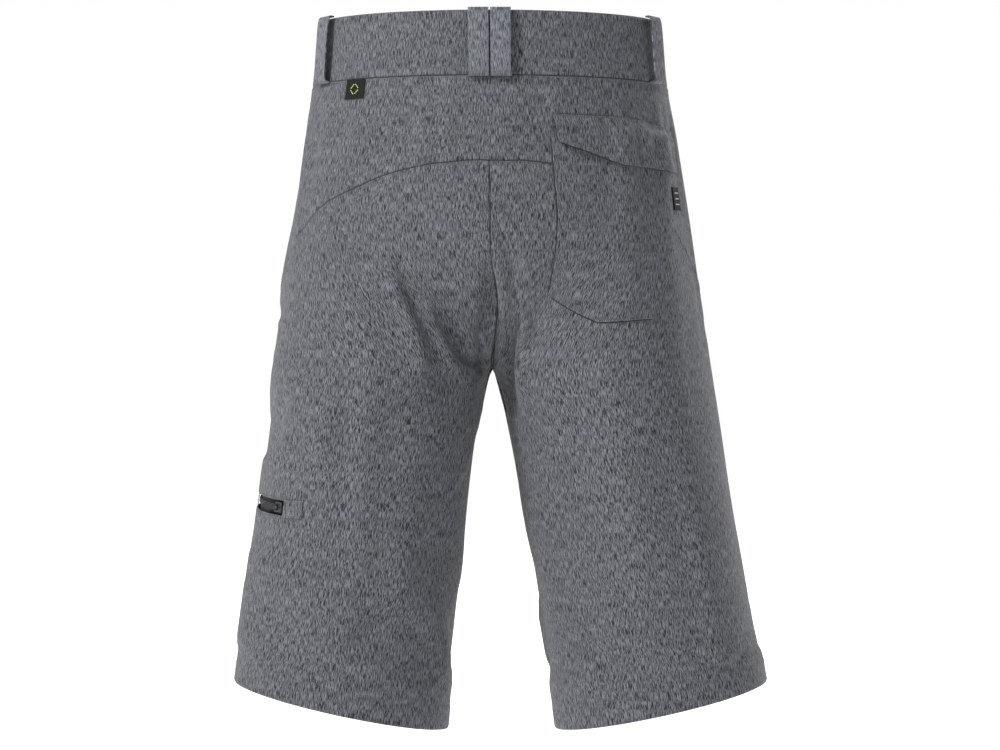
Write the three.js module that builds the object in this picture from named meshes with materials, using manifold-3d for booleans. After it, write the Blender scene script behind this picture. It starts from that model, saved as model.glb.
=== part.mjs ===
// Baggy padded shorts: a woven shell with a back yoke, belt loops, a flapped back pocket, a zipped
// leg pocket, a zip fly under a snapped waist tab, and three soft pads in sleeves inside.
// Millimetres. +X is the wearer's right, +Y the wearer's front, +Z up. The origin is the middle of
// the waist opening, level with the waistband's top edge at the back and sides.
import * as THREE from "three";
import { mergeVertices } from "three/addons/utils/BufferGeometryUtils.js";
import Module from "manifold-3d";

const wasm = await Module();
wasm.setup();

// ---- Driving sizes of the garment -------------------------------------------------------------
const waist = { width: 310, back: 110, front: 106 }; // at the top edge; depths from the origin
// Where the waistband joins the body, which is a little wider.
const seam = { width: waist.width + 10, back: waist.back + 6, front: waist.front + 5 };
const hip = { drop: 222, width: 371, back: 141, front: 124 };
const crotch = { drop: 308, width: 392, back: 131, front: 113 };
const hem = { outer: 591, inner: 634, width: 486, legGap: 96, back: 99, front: 87 };
const bandHeight = 57;
const frontDrop = 18; // the waist's top edge is this much lower at the front
const seatStart = 165; // where the seat starts to curve in under the body
const thighDrop = 70; // at mid thigh the seat runs this far below the crotch before it is a round leg
const lean = 10; // the hems hang this far towards the wearer's right
const fabric = 1.2; // shell cloth
const seamGap = 0.4; // between pieces sewn edge to edge
const clearance = 0.4; // between pieces laid face to face

const yoke = { middle: 130, side: 230, curve: 2.1, cornerAt: 0.48 };
const handPocket = { topAt: 0.66, bottom: 215, facing: 28, bagBottom: 300, bagEnd: 0.78 };

const backPocket = {
  left: 0.104, bottomLeft: 0.110, right: 0.4, bottomRight: 0.305, middle: 0.55,
  bottomLeftZ: -246, bottomMiddleZ: -269, bottomRightZ: -265, thick: 0.9,
};
const flap = {
  left: 0.107, bottomLeft: 0.114, right: 0.43, bottomRight: 0.41,
  top: -90.5, topRightFall: 8, thick: 1.0,
  leftHeight: 24.5, cornerAt: 0.4, cornerHeight: 43, rightHeight: 37,
};
const gripTape = { width: 0.09, height: 16, thick: 0.6 };

const beltLoop = { width: 18, gap: 5.4, thick: 1.6, foot: 3.6, above: 1.5, below: 1.5, pairGap: 1.2 };
const beltLoopAt = { side: 0.365, front: 0.84 }; // share of the way from centre back to centre front

const tab = { root: 12, reach: 36, height: 50, thick: 1.4, lift: 4.6, rampEnd: 0.42 };
const bandOpening = 1.1; // between the waistband's two ends, under the tab
const snap = {
  at: 24, spacing: 26, capRadius: 7.4, ringRadius: 6, studRadius: 2.3, shank: 1.2, fit: 0.4,
};

const zip = {
  tapeWidth: 12.8, tapeInner: 1.2, tapeThick: 0.8, tapeTop: -2.4,
  coilInner: 0.6, coilOuter: 2.1, coilTop: -0.75, coilThick: 1.4, slot: 5.8,
};
const slider = {
  length: 11, width: 8.8, top: 1.0, plate: 1.3, web: 0.4, lip: 1.1, lipDepth: 1.4,
  bail: 2.2, bailHalf: 2.5, pin: 0.45, pinPlay: 0.3, pinFromEnd: 4,
};
const puller = { width: 5, thick: 1.0, reach: 19, flyReach: 25 };
const fly = {
  recess: 0.55, top: frontDrop + bandHeight + 5, bottom: 196, stop: 3.4,
  shieldHalf: 20, shieldDepth: 9.5, shieldThick: 1, shieldLow: 7,
};
const legZip = { z: -427, rear: 0.373, front: 0.615, tilt: 0.075, recess: 0.8, halfSlot: 6.5 };
const legBag = { top: 400, bottom: 548, rear: 0.35, front: 0.645, depth: 8, thick: 1.2 };
const garage = { rear: 0.333, height: 16, thick: 0.8 };

const pad = { thick: 8, sleeve: 0.8, rim: 5 };
const seatPad = { half: 0.2, top: 108, bottom: 212 };
const hipPad = { rear: 0.42, front: 0.585, top: 112, bottom: 262 };

const waistLabel = { rear: 0.236, front: 0.284, height: 17, thick: 0.9 };
const pocketLabel = { rear: 0.362, front: 0.406, top: 148, height: 21, thick: 0.9 };
const sizeLabel = { half: 0.075, drop: 14, height: 34, thick: 0.6 };

// ---- The body surface -------------------------------------------------------------------------
// A smooth curve through a few [z, value] points, from the top down.
function through(points) {
  const last = points.length - 1;
  const slope = (i) => {
    const a = points[Math.max(i - 1, 0)];
    const b = points[Math.min(i + 1, last)];
    return (b[1] - a[1]) / (b[0] - a[0]);
  };
  return (z) => {
    let i = 0;
    while (i < last - 1 && z < points[i + 1][0]) i += 1;
    const [z0, y0] = points[i];
    const [z1, y1] = points[i + 1];
    const t = Math.min(Math.max((z - z0) / (z1 - z0), -0.2), 1.2);
    const span = z1 - z0;
    const m0 = slope(i) * span;
    const m1 = slope(i + 1) * span;
    return y0 + t * (m0 + t * (3 * (y1 - y0) - 2 * m0 - m1 + t * (2 * (y0 - y1) + m0 + m1)));
  };
}

const hemMiddle = (hem.outer + hem.inner) / 2;
const stations = [0, -bandHeight, -hip.drop, -crotch.drop, -hemMiddle];
const halfWidth = through([waist, seam, hip, crotch, hem].map((s, i) => [stations[i], s.width / 2]));
const backDepth = through([waist, seam, hip, crotch, hem].map((s, i) => [stations[i], -s.back]));
const frontDepth = through([waist, seam, hip, crotch, hem].map((s, i) => [stations[i], s.front]));
const gapPower = 0.68; // the legs part quickly just under the crotch, then more slowly
const smooth = (t) => {
  const c = Math.min(Math.max(t, 0), 1);
  return c * c * (3 - 2 * c);
};
const mix = (a, b, t) => a + (b - a) * t;
const topEdge = (u) => -frontDrop * smooth((u - 0.5) / 0.5);
const hemEdge = (u) => -hemMiddle - ((hem.inner - hem.outer) / 2) * -Math.cos((u - 0.5) * 2 * Math.PI);
const leanAt = (z) => lean * Math.max(0, (-hip.drop - z) / (hemMiddle - hip.drop));

// Heights run 0 top edge, 1 waistband seam, 2 seat start, 3 where the legs are round, 4 hem. Near
// the centre seams the seat turns under to the crotch, and elsewhere it runs smoothly into the leg.
const legStart = (u) => -crotch.drop - thighDrop * Math.sin(Math.PI * u) ** 1.5;
const turnUnder = (u) => 1 - smooth(Math.min(u, 1 - u) / 0.2);
const fallShare = (u, t) => mix(t, Math.sin((t * Math.PI) / 2), turnUnder(u));
const legShare = (u, t) => mix(smooth(t), 1 - Math.cos((t * Math.PI) / 2), turnUnder(u));
function heightAt(u, v) {
  const top = topEdge(u);
  if (v <= 1) return top - bandHeight * v;
  if (v <= 2) return mix(top - bandHeight, -seatStart, v - 1);
  if (v <= 3) return mix(-seatStart, legStart(u), fallShare(u, v - 2));
  return mix(legStart(u), hemEdge(u), v - 3);
}
function levelAt(u, z) {
  const bandBottom = topEdge(u) - bandHeight;
  if (z >= bandBottom) return (topEdge(u) - z) / bandHeight;
  if (z >= -seatStart) return 1 + (bandBottom - z) / (bandBottom + seatStart);
  if (z <= legStart(u)) return 3 + (legStart(u) - z) / (legStart(u) - hemEdge(u));
  let [low, high] = [2, 3];
  for (let i = 0; i < 24; i += 1) {
    const middle = (low + high) / 2;
    if (heightAt(u, middle) > z) low = middle;
    else high = middle;
  }
  return low;
}

// The point at s, which runs round the garment: 0 centre back, 0.5 right side, 1 centre front,
// and -0.5 (or 1.5) left side. Under the crotch each side closes on itself and becomes a leg.
function surface(s, v) {
  const wrapped = s > 1 ? s - 2 : s < -1 ? s + 2 : s;
  const side = wrapped < 0 ? -1 : 1;
  const u = Math.abs(wrapped);
  const z = heightAt(u, v);
  const outer = halfWidth(z);
  const below = Math.max(0, -crotch.drop - z);
  const inner = (hem.legGap / 2) * (below / (hem.inner - crotch.drop)) ** gapPower;
  const middle = (frontDepth(z) + backDepth(z)) / 2;
  const deep = (frontDepth(z) - backDepth(z)) / 2;
  const turn = (u - 0.5) * Math.PI;
  const asLeg = legShare(u, Math.min(Math.max(v - 2, 0), 1));
  const legX = (outer + inner) / 2 + ((outer - inner) / 2) * Math.cos(2 * turn);
  const x = mix(outer * Math.cos(turn), legX, asLeg);
  const y = mix(middle + deep * Math.sin(turn), middle + deep * Math.sin(2 * turn), asLeg);
  return new THREE.Vector3(side * x + leanAt(z), y, z);
}

// Where the surface is, with its outward normal. The slope is taken within [low, high] of s.
function place(s, v, low = s - 1, high = s + 1) {
  const step = 0.004;
  const along = surface(Math.min(s + step, high), v).sub(surface(Math.max(s - step, low), v));
  const down = surface(s, Math.min(v + step * 3, 4.2)).sub(surface(s, Math.max(v - step * 3, -0.2)));
  return { point: surface(s, v), normal: down.clone().cross(along).normalize(), along, down };
}
const onBody = (s, z, low, high) => place(s, levelAt(Math.abs(s > 1 ? s - 2 : s), z), low, high);
// The s at a distance x from the middle of the front, on the right (x > 0) or the left.
function frontAt(x, z) {
  const share = 0.5 + Math.acos(Math.abs(x) / halfWidth(z)) / Math.PI;
  return x >= 0 ? share : 2 - share;
}

// ---- Making solids ----------------------------------------------------------------------------
// Cloth laid on the body: at(a, b) gives [s, v] for a and b from 0 to 1, and inner and outer are
// its two faces' distances from the surface, as numbers or as functions of a and b.
function cloth({ at, inner, outer, columns, rows, low, high }) {
  const positions = [];
  const value = (f, a, b) => (typeof f === "function" ? f(a, b) : f);
  for (const face of [outer, inner]) {
    for (let j = 0; j <= rows; j += 1) {
      for (let i = 0; i <= columns; i += 1) {
        const [a, b] = [i / columns, j / rows];
        const [s, v] = at(a, b);
        const { point, normal } = place(s, v, low, high);
        point.addScaledVector(normal, value(face, a, b));
        positions.push(point.x, point.y, point.z);
      }
    }
  }
  const width = columns + 1;
  const back = width * (rows + 1);
  const index = [];
  const quad = (p, q, r, t) => index.push(p, q, r, p, r, t);
  for (let j = 0; j < rows; j += 1) {
    for (let i = 0; i < columns; i += 1) {
      const k = j * width + i;
      quad(k, k + width, k + width + 1, k + 1);
      quad(back + k, back + k + 1, back + k + width + 1, back + k + width);
    }
  }
  for (let i = 0; i < columns; i += 1) {
    const k = rows * width + i;
    quad(i, i + 1, back + i + 1, back + i);
    quad(k, back + k, back + k + 1, k + 1);
  }
  for (let j = 0; j < rows; j += 1) {
    const k = j * width;
    const m = k + columns;
    quad(k, back + k, back + k + width, k + width);
    quad(m, m + width, back + m + width, back + m);
  }
  const made = new THREE.BufferGeometry();
  made.setAttribute("position", new THREE.Float32BufferAttribute(positions, 3));
  made.setIndex(index);
  return made;
}

function solid(geometry) {
  const plain = geometry.clone();
  for (const name of Object.keys(plain.attributes)) if (name !== "position") plain.deleteAttribute(name);
  const merged = mergeVertices(plain, 1e-4);
  return new wasm.Manifold(
    new wasm.Mesh({
      numProp: 3,
      vertProperties: new Float32Array(merged.attributes.position.array),
      triVerts: new Uint32Array(merged.index.array),
    }),
  );
}
function geometryOf(made) {
  const mesh = made.getMesh();
  const back = new THREE.BufferGeometry();
  back.setAttribute("position", new THREE.Float32BufferAttribute(mesh.vertProperties, 3));
  back.setIndex(new THREE.Uint32BufferAttribute(mesh.triVerts, 1));
  return back;
}
const cut = (geometry, ...tools) =>
  geometryOf(tools.reduce((left, tool) => left.subtract(solid(tool)), solid(geometry)));
const join = (...pieces) => geometryOf(pieces.map(solid).reduce((all, next) => all.add(next)));

function block(x0, x1, y0, y1, z0, z1) {
  const made = new THREE.BoxGeometry(x1 - x0, y1 - y0, z1 - z0);
  return made.translate((x0 + x1) / 2, (y0 + y1) / 2, (z0 + z1) / 2);
}
// A turned piece about local Y, from [radius, height] points.
const turned = (profile) => new THREE.LatheGeometry(profile.map(([r, h]) => new THREE.Vector2(r, h)), 16);
function outline(points) {
  const shape = new THREE.Shape(points.map(([x, y]) => new THREE.Vector2(x, y)));
  return (depth, steps = 1) => new THREE.ExtrudeGeometry(shape, { depth, bevelEnabled: false, steps });
}

// ---- The assembly -----------------------------------------------------------------------------
const paint = (color, roughness, metalness = 0) => ({ color, roughness, metalness });
const looks = {
  shell: paint(0x686b70, 0.9),
  lining: paint(0x2b2d30, 0.92),
  trim: paint(0x151618, 0.75),
  metal: paint(0x8d9094, 0.35, 0.9),
  mesh: paint(0x3a3d41, 0.95),
  foam: paint(0x3d4654, 0.85),
  green: paint(0x20241c, 0.8),
};
const shorts = new THREE.Group();
function add(name, geometry, look, where) {
  const piece = new THREE.Mesh(geometry, new THREE.MeshStandardMaterial(looks[look]));
  piece.name = name;
  if (where) piece.applyMatrix4(where);
  shorts.add(piece);
  return piece;
}
const sides = [["left", -1], ["right", 1]];

// Shell panels. The outseam is at 0.5 and the seams keep a small gap on each side of their line.
const shellFaces = { inner: -fabric, outer: 0 };
const panelColumns = 20;
const halfOf = (side) => (side > 0 ? { low: 0, high: 1 } : { low: -1, high: -1e-6 });
const halfSeam = seamGap / 2;
// A distance in millimetres as a step of s at that place.
function stepFor(mm, s, z) {
  const here = onBody(s, z);
  return (mm * 0.008) / here.along.length();
}
const yokeEdge = (u) =>
  -mix(yoke.middle, yoke.side, Math.min(u / yoke.cornerAt, 1) ** yoke.curve);
const slantEdge = (u) =>
  mix(-handPocket.bottom, topEdge(u) - bandHeight, Math.min((u - 0.5) / (handPocket.topAt - 0.5), 1));

function backYoke() {
  const span = 0.5 - stepFor(halfSeam, 0.5, -hip.drop);
  return cloth({
    at: (a, b) => {
      const s = mix(-span, span, a);
      const u = Math.abs(s);
      return [s, mix(1 + halfSeam / bandHeight, levelAt(u, yokeEdge(u) + halfSeam), b)];
    },
    ...shellFaces, columns: 2 * panelColumns, rows: 5,
  });
}
function backPanel(side) {
  const edge = stepFor(halfSeam, 0.25, -hip.drop);
  return cloth({
    at: (a, b) => {
      const u = mix(edge, 0.5 - edge, side > 0 ? a : 1 - a);
      return [side * u, mix(levelAt(u, yokeEdge(u) - halfSeam), 4, b)];
    },
    ...shellFaces, columns: panelColumns, rows: 18, ...halfOf(side),
  });
}
function frontPanel(side) {
  const edge = stepFor(halfSeam, 0.25, -hip.drop);
  return cloth({
    at: (a, b) => {
      const u = mix(0.5 + edge, 1 - edge, side > 0 ? a : 1 - a);
      return [side * u, mix(levelAt(u, slantEdge(u) - halfSeam), 4, b)];
    },
    ...shellFaces, columns: panelColumns, rows: 18, ...halfOf(side),
  });
}

// Waistband, facing and what passes through them.
const bandFaces = { outer: 0.2, inner: -fabric };
const facingFaces = { outer: -fabric - clearance, inner: -2 * fabric - clearance - 0.2 };
function band(faces, topV) {
  const gap = stepFor(bandOpening / 2, 1, -bandHeight);
  return cloth({
    at: (a, b) => [mix(-1 + gap, 1 - gap, a), mix(topV, 1 - halfSeam / bandHeight, b)],
    ...faces, columns: 46, rows: 2,
  });
}
// A frame on the body: local X across to the wearer's right at the front, Y out, Z up.
function frameAt(s, z, lift = 0) {
  const { point, normal, down } = onBody(s, z);
  const up = down.clone().negate().addScaledVector(normal, down.dot(normal)).normalize();
  const across = normal.clone().cross(up).normalize();
  const at = point.addScaledVector(normal, lift);
  return new THREE.Matrix4().makeBasis(across, normal, up).setPosition(at);
}
const snapSpots = [0, 1].map((k) => {
  const middle = topEdge(1) - bandHeight / 2;
  return frameAt(frontAt(snap.at, middle), middle + snap.spacing * (0.5 - k));
});
const shankHole = (matrix, radius, y0, y1) =>
  new THREE.CylinderGeometry(radius, radius, y1 - y0, 16)
    .translate(0, (y0 + y1) / 2, 0)
    .applyMatrix4(matrix);

// The belt loop's side view, drawn out (x) and up (y), with a foot at each end.
function beltLoopShape() {
  const out = beltLoop.gap + beltLoop.thick;
  const low = -bandHeight / 2 - beltLoop.below;
  const high = bandHeight / 2 + beltLoop.above;
  const round = beltLoop.thick;
  return outline([
    [0, low], [out - round, low], [out, low + round], [out, high - round], [out - round, high],
    [0, high], [0, high - beltLoop.foot], [out - beltLoop.thick, high - beltLoop.foot],
    [out - beltLoop.thick, low + beltLoop.foot], [0, low + beltLoop.foot],
  ])(beltLoop.width).translate(0, 0, -beltLoop.width / 2);
}
// The middle of the band at s, moved across by shift and out just far enough to clear the band.
function beltLoopPlace(s, shift = 0) {
  const middle = topEdge(Math.abs(s)) - bandHeight / 2;
  const frame = frameAt(s, middle);
  const toFrame = frame.clone().invert();
  const sideways = stepFor(shift + (Math.sign(shift) * beltLoop.width) / 2, s, middle);
  const proud = [-1, -0.5, 0, 0.5, 1].map((h) => {
    const z = middle + (h * bandHeight) / 2;
    const near = onBody(s, z).point.applyMatrix4(toFrame).y;
    return Math.max(near, onBody(s + sideways, z).point.applyMatrix4(toFrame).y);
  });
  const turn = new THREE.Matrix4().makeBasis(
    new THREE.Vector3(0, 1, 0), new THREE.Vector3(0, 0, 1), new THREE.Vector3(1, 0, 0),
  );
  const lift = Math.max(...proud) + bandFaces.outer + clearance;
  return frame.multiply(new THREE.Matrix4().makeTranslation(shift, lift, 0)).multiply(turn);
}

// Waist tab: sewn down at the wearer's left of the fly, lifted where the snaps hold it.
function closureTab() {
  const middle = topEdge(1) - bandHeight / 2;
  const from = frontAt(tab.reach, middle);
  const to = frontAt(-tab.root, middle);
  const v0 = (bandHeight - tab.height) / 2 / bandHeight;
  const lifted = (a) => mix(tab.lift, clearance + 0.2, smooth((a - 1 + tab.rampEnd) / tab.rampEnd));
  return cloth({
    at: (a, b) => [mix(from, to, a), mix(v0, 1 - v0, b)],
    outer: (a) => lifted(a) + tab.thick, inner: lifted, columns: 12, rows: 2,
  });
}
function snapCap() {
  const low = tab.lift + tab.thick + 0.3;
  const r = snap.capRadius;
  return turned([[0, tab.lift - 0.1], [snap.shank, tab.lift - 0.1], [snap.shank, low], [r - 0.3, low],
    [r, low + 0.5], [r - 0.8, low + 1.2], [r * 0.5, low + 1.6], [0, low + 1.7]]);
}
function snapSocket() {
  const top = tab.lift - 0.4;
  const bottom = top - 1.8;
  const bore = snap.studRadius + snap.fit;
  return turned([[0, bottom + 1.2], [bore, bottom + 1.2], [bore, bottom], [snap.ringRadius, bottom],
    [snap.ringRadius, top - 0.4], [snap.ringRadius - 0.5, top], [0, top]]);
}
function snapStud() {
  const low = bandFaces.outer + 0.3;
  const tip = tab.lift - 0.4 - 1.8 + 0.9;
  return turned([
    [0, low], [snap.ringRadius, low], [snap.ringRadius, low + 0.7], [snap.studRadius, low + 1.0],
    [snap.studRadius, tip - 0.4], [snap.studRadius - 0.5, tip], [0, tip],
  ]);
}
function snapPost() {
  const low = facingFaces.inner - 1.3;
  const flange = snap.ringRadius - 1;
  return turned([
    [0, low], [flange, low], [flange, low + 0.8], [snap.shank, low + 1.0],
    [snap.shank, bandFaces.outer], [0, bandFaces.outer],
  ]);
}

// Zips, drawn with X across the chain, Y outwards and Z towards the closed end.
function sliderBody() {
  const w = slider.width / 2;
  const under = zip.tapeTop - zip.tapeThick - 0.5;
  const roof = slider.top - slider.plate;
  const web = slider.web / 2;
  const floor = under - slider.plate + 0.1;
  const lip = roof - slider.lipDepth;
  const half = w - 0.2;
  const rightSide = [
    [w, slider.top], [w, lip], [w - slider.lip, lip], [w - slider.lip, roof],
    [web, roof], [web, under], [half, under], [half, floor],
  ];
  const leftSide = rightSide.map(([x, y]) => [-x, y]).reverse();
  const body = outline([...rightSide, ...leftSide].reverse())(slider.length);
  body.translate(0, 0, -slider.length / 2);
  const { bailHalf } = slider;
  const bail = block(
    -1, 1, slider.top - 0.2, slider.top + slider.bail, pinSpot.z - bailHalf, pinSpot.z + bailHalf,
  );
  return cut(join(body, bail), pinAlong(slider.pin + slider.pinPlay, 3));
}
const pinSpot = {
  y: slider.top + slider.bail / 2 + 0.1,
  z: -slider.length / 2 + slider.pinFromEnd,
};
const pinAlong = (radius, half) =>
  new THREE.CylinderGeometry(radius, radius, 2 * half, 12)
    .rotateZ(Math.PI / 2)
    .translate(0, pinSpot.y, pinSpot.z);
function pullTab(reach) {
  const w = puller.width / 2;
  const arm = w - 1.3;
  const low = pinSpot.y - puller.thick / 2;
  const high = pinSpot.y + puller.thick / 2;
  const startZ = pinSpot.z + 1.1;
  const endOfBail = pinSpot.z - 3;
  return join(
    block(1.3, 1.3 + arm, low, high, endOfBail - 0.4, startZ),
    block(-1.3 - arm, -1.3, low, high, endOfBail - 0.4, startZ),
    block(-w, w, low, high, pinSpot.z - reach, endOfBail),
    pinAlong(slider.pin, 1.3 + arm / 2),
  );
}
const flyTopZ = -fly.top;
const flyRecess = new THREE.Vector3(0, -fly.recess, 0);
const flyTop = onBody(1, flyTopZ).point.add(flyRecess);
const flyEnd = onBody(1, -fly.bottom).point.add(flyRecess);
const flyLength = flyTop.distanceTo(flyEnd);
const flyUp = flyTop.clone().sub(flyEnd).normalize();
const flyOut = new THREE.Vector3(1, 0, 0).cross(flyUp).negate();
const flyFrame = new THREE.Matrix4()
  .makeBasis(new THREE.Vector3(1, 0, 0), flyOut, flyUp)
  .setPosition(flyTop);

// The leg zip lies on a circle round the leg, a little tilted, so its slider turns about that axis.
const legSide = -1;
const legRing = (() => {
  const spots = [legZip.rear, (legZip.rear + legZip.front) / 2, legZip.front];
  const [a, b, c] = spots.map((u) => surface(legSide * u, levelAt(u, legZip.z)));
  const mid = (p, q) => new THREE.Vector2((p.x + q.x) / 2, (p.y + q.y) / 2);
  const [m, n] = [mid(a, b), mid(b, c)];
  const [d, e] = [new THREE.Vector2(b.x - a.x, b.y - a.y), new THREE.Vector2(c.x - b.x, c.y - b.y)];
  const right = d.dot(m);
  const second = e.dot(n);
  const det = d.x * e.y - d.y * e.x;
  const centreX = (right * e.y - second * d.y) / det;
  const centreY = (d.x * second - e.x * right) / det;
  const centre = new THREE.Vector3(centreX, centreY, legZip.z);
  const radius = Math.hypot(b.x - centre.x, b.y - centre.y);
  const turnOf = (p) => Math.atan2(p.y - centre.y, p.x - centre.x);
  const axis = new THREE.Vector3(0, -legZip.tilt, 1).normalize();
  return { centre, radius, axis, rear: turnOf(a), front: turnOf(c) };
})();
// Local X, Y across the ring's plane with Z along its axis.
const ringFrame = (() => {
  const z = legRing.axis;
  const x = new THREE.Vector3(1, 0, 0);
  const y = z.clone().cross(x).normalize();
  return new THREE.Matrix4().makeBasis(x, y, z).setPosition(legRing.centre);
})();
// The ring from the rear end to the front end of the slot, as angles that fall from rear to front.
const rearTurn = legRing.rear > 0 ? legRing.rear - 2 * Math.PI : legRing.rear;
const frontTurn = (() => {
  let t = legRing.front;
  while (t > rearTurn) t -= 2 * Math.PI;
  return t;
})();
// How fast the leg narrows upwards at a place on the ring, and halfway along the zip.
function slopeAt(turn) {
  const behind = ((turn - rearTurn) % (2 * Math.PI) - 2 * Math.PI) % (2 * Math.PI);
  const u = mix(legZip.rear, legZip.front, behind / (frontTurn - rearTurn));
  const { normal } = onBody(legSide * u, legZip.z);
  return normal.z / Math.hypot(normal.x, normal.y);
}
const legSlope = slopeAt((rearTurn + frontTurn) / 2);
const tapeBend = zip.tapeInner + zip.tapeWidth / 2;
function ringStrip(r0, r1, h0, h1, extra = 0) {
  const [from, to] = [rearTurn + extra, frontTurn - extra];
  const count = 26;
  const points = [];
  for (let i = 0; i <= count; i += 1) {
    const t = mix(from, to, i / count);
    points.push([r1 * Math.cos(t), r1 * Math.sin(t)]);
  }
  for (let i = count; i >= 0; i -= 1) {
    const t = mix(from, to, i / count);
    points.push([r0 * Math.cos(t), r0 * Math.sin(t)]);
  }
  const strip = outline(points)(h1 - h0, h1 - h0 > tapeBend ? 2 : 1).translate(0, 0, h0);
  const spots = strip.attributes.position;
  for (let i = 0; i < spots.count; i += 1) {
    const [x, y, h] = [spots.getX(i), spots.getY(i), spots.getZ(i)];
    const beyond = h - THREE.MathUtils.clamp(h, -tapeBend, tapeBend);
    const outward = legSlope * h + (slopeAt(Math.atan2(y, x)) - legSlope) * beyond;
    const shrink = 1 - outward / Math.hypot(x, y);
    spots.setXY(i, x * shrink, y * shrink);
  }
  return strip;
}
// The slider's frame on the ring: X along the axis, Y out, Z towards the rear end.
function ringSpot(turn) {
  const out = new THREE.Vector3(Math.cos(turn), Math.sin(turn), 0);
  const rearward = new THREE.Vector3(-Math.sin(turn), Math.cos(turn), 0);
  const at = out.clone().multiplyScalar(legRing.radius - legZip.recess);
  out.z = legSlope;
  out.normalize();
  const across = out.clone().cross(rearward);
  return ringFrame.clone().multiply(new THREE.Matrix4().makeBasis(across, out, rearward).setPosition(at));
}

// The outer face of a piece sewn to the shell's inside round its edge and sunk to a depth between.
const dished = (a, b, depth, steep) =>
  -mix(fabric + 2 * clearance, depth, smooth(Math.min(a, 1 - a, b, 1 - b) * steep));

// Small flat pieces laid on the body between two s values and two heights.
function patch(s0, s1, z0, z1, low, thick, columns = 2, rows = 2) {
  return cloth({
    at: (a, b) => {
      const s = mix(s0, s1, a);
      return [s, levelAt(Math.abs(s), mix(z0, z1, b))];
    },
    inner: low, outer: low + thick, columns, rows,
  });
}
// A tray that holds a pad against the shell: the pad's outline plus a rim, hollowed for the pad.
function sleeve(s0, s1, z0, z1, padOuter, columns, rows) {
  const grow = (mm, s) => stepFor(mm, s, (z0 + z1) / 2);
  const depth = padOuter - pad.thick;
  const shapeOf = (mm, inner, outer) =>
    cloth({
      at: (a, b) => {
        const s = mix(s0 - grow(mm, s0), s1 + grow(mm, s1), a);
        return [s, levelAt(Math.abs(s), mix(z0 + mm, z1 - mm, b))];
      },
      inner, outer, columns, rows,
    });
  return cut(
    shapeOf(pad.rim, depth - clearance - pad.sleeve, padOuter),
    shapeOf(clearance + 0.3, depth - clearance, padOuter + 3),
  );
}

// ---- Shell --------------------------------------------------------------------------------------
add("back_yoke", backYoke(), "shell");
const legSlot = ringStrip(legRing.radius - 9, legRing.radius + 9, -legZip.halfSlot, legZip.halfSlot)
  .applyMatrix4(ringFrame);
add("back_panel_right", backPanel(1), "shell");
add("back_panel_left", cut(backPanel(-1), legSlot), "shell");
const flySlot = block(-zip.slot, zip.slot, -9, 9, -flyLength - 2, 30).applyMatrix4(flyFrame);
add("front_panel_right", cut(frontPanel(1), flySlot), "shell");
add("front_panel_left", cut(frontPanel(-1), legSlot, flySlot), "shell");
const shankHoles = snapSpots.map((m) => shankHole(m, snap.shank + snap.fit, -8, 8));
add("waistband", cut(band(bandFaces, 0), ...shankHoles), "shell");
add("waistband_facing", cut(band(facingFaces, 1 / bandHeight), ...shankHoles), "lining");

// ---- Belt loops: a pair at the centre back, one at each side, one on each side of the fly -------
const pairShift = (beltLoop.width + beltLoop.pairGap) / 2;
for (const [name, side] of sides) {
  add(`belt_loop_back_${name}`, beltLoopShape(), "shell", beltLoopPlace(0, -side * pairShift));
  add(`belt_loop_side_${name}`, beltLoopShape(), "shell", beltLoopPlace(side * beltLoopAt.side));
  add(`belt_loop_front_${name}`, beltLoopShape(), "shell", beltLoopPlace(side * beltLoopAt.front));
}

// ---- Waist closure ----------------------------------------------------------------------------
const tabHoles = snapSpots.map((m) => shankHole(m, snap.shank + snap.fit, tab.lift - 2, tab.lift + 4));
add("closure_tab", cut(closureTab(), ...tabHoles), "shell");
snapSpots.forEach((where, k) => {
  const which = k ? "lower" : "upper";
  add(`snap_cap_${which}`, snapCap(), "metal", where);
  add(`snap_socket_${which}`, snapSocket(), "metal", where);
  add(`snap_stud_${which}`, snapStud(), "metal", where);
  add(`snap_post_${which}`, snapPost(), "metal", where);
});

// ---- Fly --------------------------------------------------------------------------------------
for (const [name, side] of sides) {
  const tape = block(
    zip.tapeInner, zip.tapeInner + zip.tapeWidth, zip.tapeTop - zip.tapeThick, zip.tapeTop, -flyLength, 0,
  );
  const coil = block(
    zip.coilInner, zip.coilOuter, zip.coilTop - zip.coilThick, zip.coilTop,
    -flyLength + fly.stop + 0.6, -1,
  );
  const across = side > 0 ? 0 : -(2 * zip.tapeInner + zip.tapeWidth);
  const coilAcross = side > 0 ? 0 : -(zip.coilInner + zip.coilOuter);
  add(`fly_zip_tape_${name}`, tape.translate(across, 0, 0), "trim", flyFrame);
  add(`fly_zip_coil_${name}`, coil.translate(coilAcross, 0, 0), "trim", flyFrame);
}
const bottomStop = block(
  -zip.coilOuter, zip.coilOuter, zip.coilTop - zip.coilThick, zip.coilTop,
  -flyLength, -flyLength + fly.stop,
);
add("fly_zip_bottom_stop", bottomStop, "metal", flyFrame);
const flySliderFrame = flyFrame.clone()
  .multiply(new THREE.Matrix4().makeTranslation(0, 0, -slider.length / 2));
add("fly_zip_slider", sliderBody(), "metal", flySliderFrame);
add("fly_zip_puller", pullTab(puller.flyReach), "trim", flySliderFrame);
const shieldFace = (a) => dished(a, 0.5, fly.shieldDepth, 7) - 1.5 * clearance;
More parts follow.
